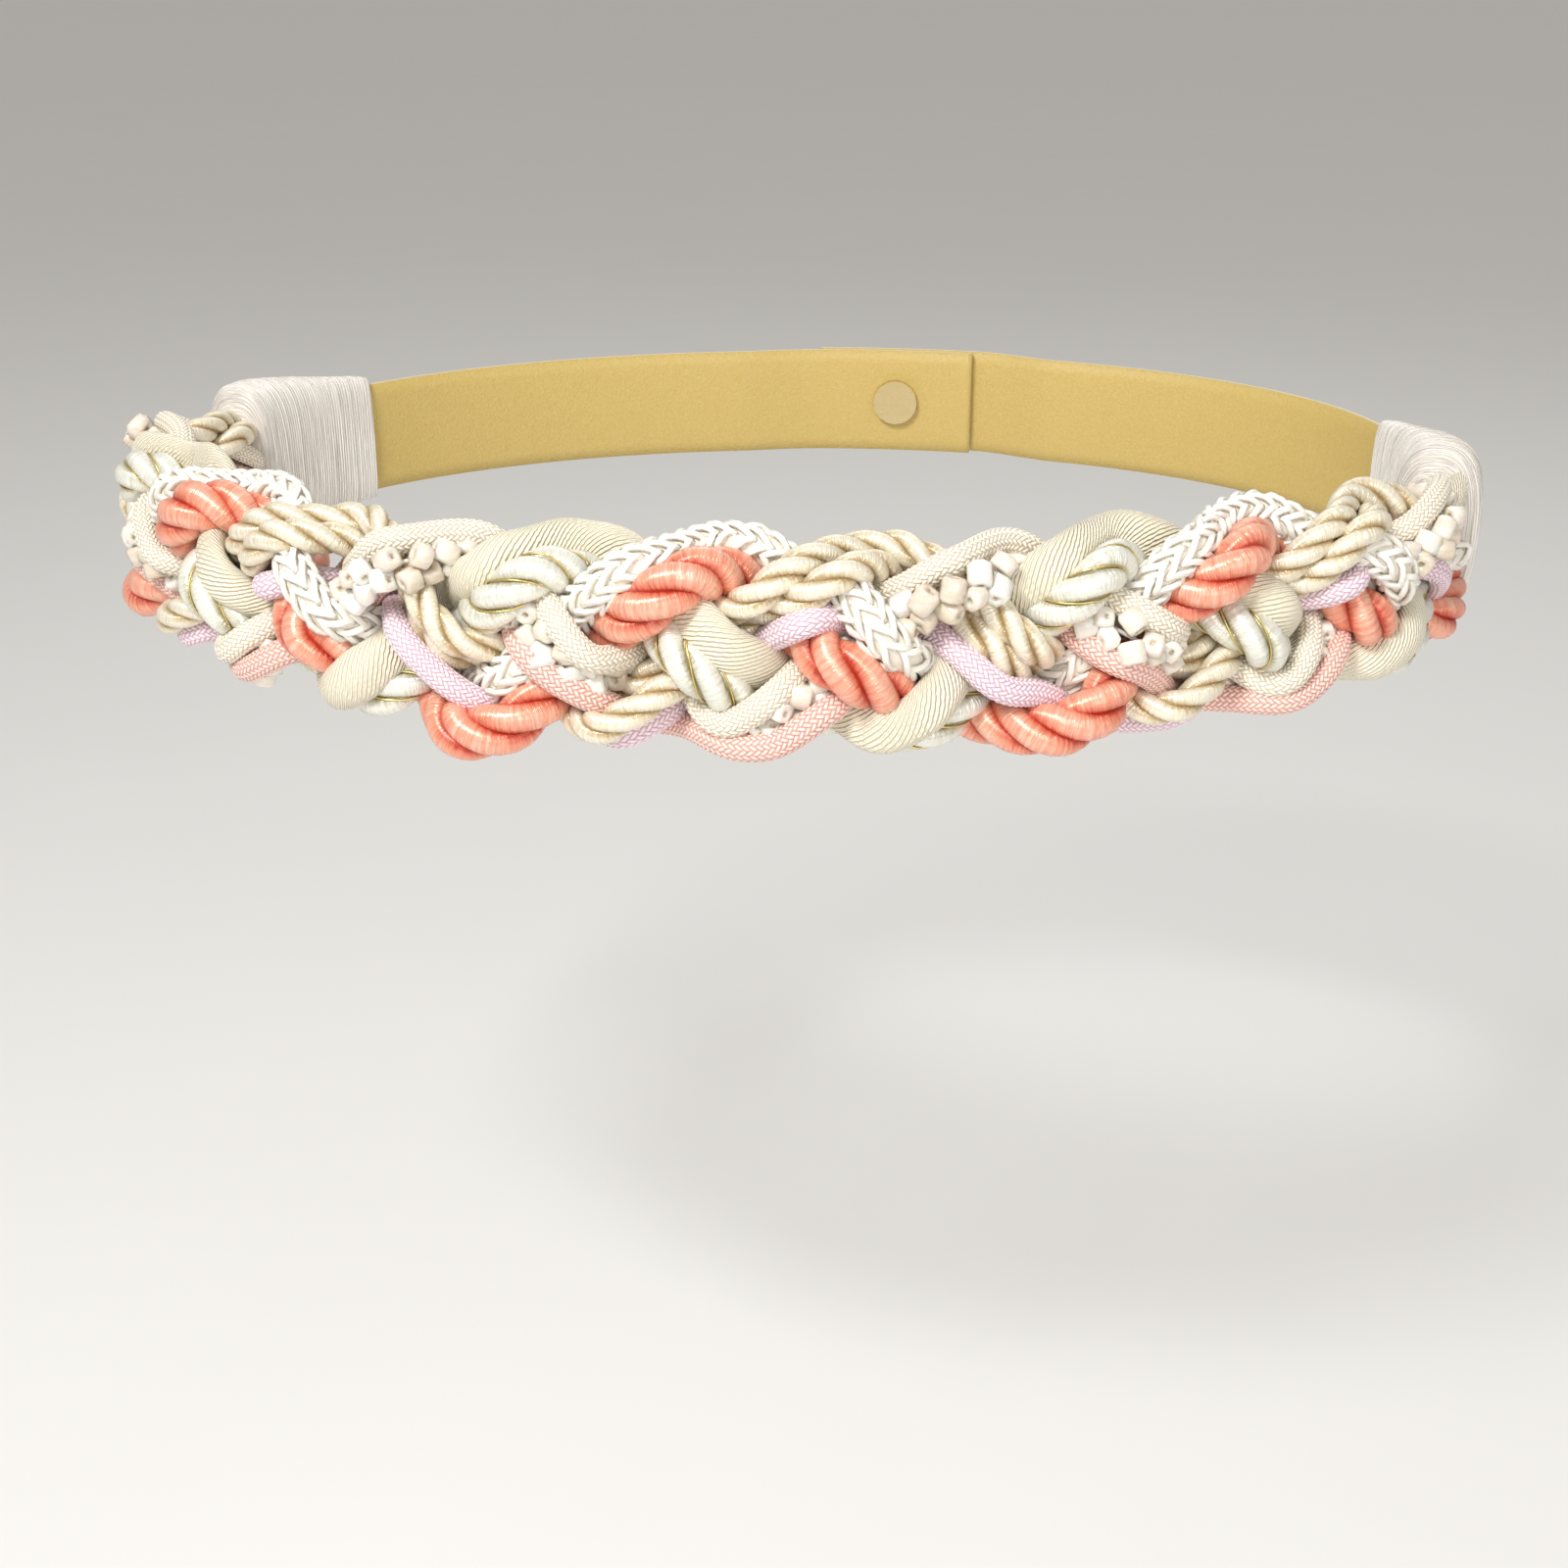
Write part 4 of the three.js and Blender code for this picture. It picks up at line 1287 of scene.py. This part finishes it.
strap("strap_left", LEFT_START, OVERLAP_START, left_out)
strap("strap_right", RIGHT_START, OVERLAP_END, right_out)

# %% [markdown]
# ## The stud
#
# A flat metal stud holds the two ends of the strap. Its solid has the true shape, so it keeps
# its own mesh and only gets its material: brushed metal of a warm, pale gold.

# %% The stud
METAL = surface("stud_metal", (0.86, 0.72, 0.42), (0.80, 0.64, 0.34), (0.60, 0.46, 0.22),
                GRAIN, {"Scale": 900.0, "Stretch": 8.0}, roughness=0.28, depth=0.00005, valley_shade_and_tone=0.8,
                metallic=1.0)
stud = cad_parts["back_stud"]
stud.data.materials.clear()
stud.data.materials.append(METAL)
print(f"{stud.name} has {len(stud.data.polygons)} faces")

# %% [markdown]
# ## The camera
#
# The photograph was taken from a little above the front of the belt. A camera could be placed by
# eye, but its place decides how the belt curves away at both sides, so it was worked out from the
# belt's outline in the photograph.

# %% The camera
LENS_MM = 49.5
SENSOR_MM = 36
CAMERA_DISTANCE = 0.5602
CAMERA_ELEVATION = math.radians(16.263)
CAMERA_PITCH = math.radians(23.863)
CAMERA_ASIDE = -0.0061

lens = bpy.data.cameras.new("camera")
lens.lens = LENS_MM
lens.sensor_width = SENSOR_MM
camera = bpy.data.objects.new("camera", lens)
camera.location = (
    CAMERA_ASIDE,
    -CAMERA_DISTANCE * math.cos(CAMERA_ELEVATION),
    CAMERA_DISTANCE * math.sin(CAMERA_ELEVATION),
)
camera.rotation_euler = (math.pi / 2 - CAMERA_PITCH, 0, 0)
bpy.context.scene.collection.objects.link(camera)
bpy.context.scene.camera = camera
print(f"the camera stands at {[round(float(x), 4) for x in camera.location]} m")

# %% [markdown]
# ## Light
#
# Satin needs a light that is small enough to give a highlight and large enough to keep it soft.
# The key light comes from the upper left, a wide fill from the front opens the shadows, and a
# faint one from behind lifts the strap. The air is a warm, even white.

# %% Light
def area_light(name, place, size, power):
    """A square soft light that looks at the origin."""
    data = bpy.data.lights.new(name, "AREA")
    data.size = size
    data.energy = power
    light = bpy.data.objects.new(name, data)
    light.location = place
    ray = -np.array(place)
    light.rotation_euler = (
        math.atan2(math.hypot(ray[0], ray[1]), -ray[2]),
        0,
        math.atan2(ray[1], ray[0]) - math.pi / 2,
    )
    bpy.context.scene.collection.objects.link(light)
    print(f"{name} light: {power} W, {np.linalg.norm(ray):.2f} m away")


area_light("key", (-0.45, -0.8, 0.9), size=0.35, power=14)
area_light("fill", (0.4, -1.1, 0.3), size=0.7, power=4.5)
area_light("back", (0.2, 1.0, 0.9), size=0.8, power=3)
world = bpy.data.worlds.new("world")
world.use_nodes = True
world.node_tree.nodes["Background"].inputs["Color"].default_value = (1.0, 0.975, 0.94, 1)
world.node_tree.nodes["Background"].inputs["Strength"].default_value = 0.48
bpy.context.scene.world = world
bpy.context.scene.view_settings.view_transform = "Standard"

# %% [markdown]
# ## The floor
#
# The belt is as high as on a waist, so the plain pale floor lies well below it and takes only a
# soft shadow. One large square is enough.

# %% The floor
FLOOR_PAINT = surface("floor", (0.84, 0.83, 0.81), (0.82, 0.81, 0.79), (0.80, 0.79, 0.77),
                      GRAIN, {"Scale": 12.0, "Stretch": 1.0}, roughness=0.8, depth=0.0, valley_shade_and_tone=0.4)
FLOOR_HEIGHT = -0.32
FLOOR_HALF = 12.0
corners = [(-FLOOR_HALF, -FLOOR_HALF), (FLOOR_HALF, -FLOOR_HALF),
           (FLOOR_HALF, FLOOR_HALF), (-FLOOR_HALF, FLOOR_HALF)]
floor_mesh = bpy.data.meshes.new("floor")
floor_mesh.from_pydata([(x, y, FLOOR_HEIGHT) for x, y in corners], [], [(0, 1, 2, 3)])
floor_mesh.materials.append(FLOOR_PAINT)
floor = bpy.data.objects.new("floor", floor_mesh)
bpy.context.scene.collection.objects.link(floor)
floor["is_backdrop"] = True
print(f"the floor lies {-FLOOR_HEIGHT} m below the middle of the belt")

# %% [markdown]
# ## The size of the dressed belt
#
# The box round the dressed belt is printed beside the box of the CAD model. It reaches a little
# further, because the cords are fuller than their solids and the beads stand out of their string.

# %% The size of the dressed belt
boxes = {"cad": cad_box, "visual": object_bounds()}
{k: [[float(x) for x in corner] for corner in box] for k, box in boxes.items()}
print({k: [[round(float(x), 4) for x in corner] for corner in box] for k, box in boxes.items()})
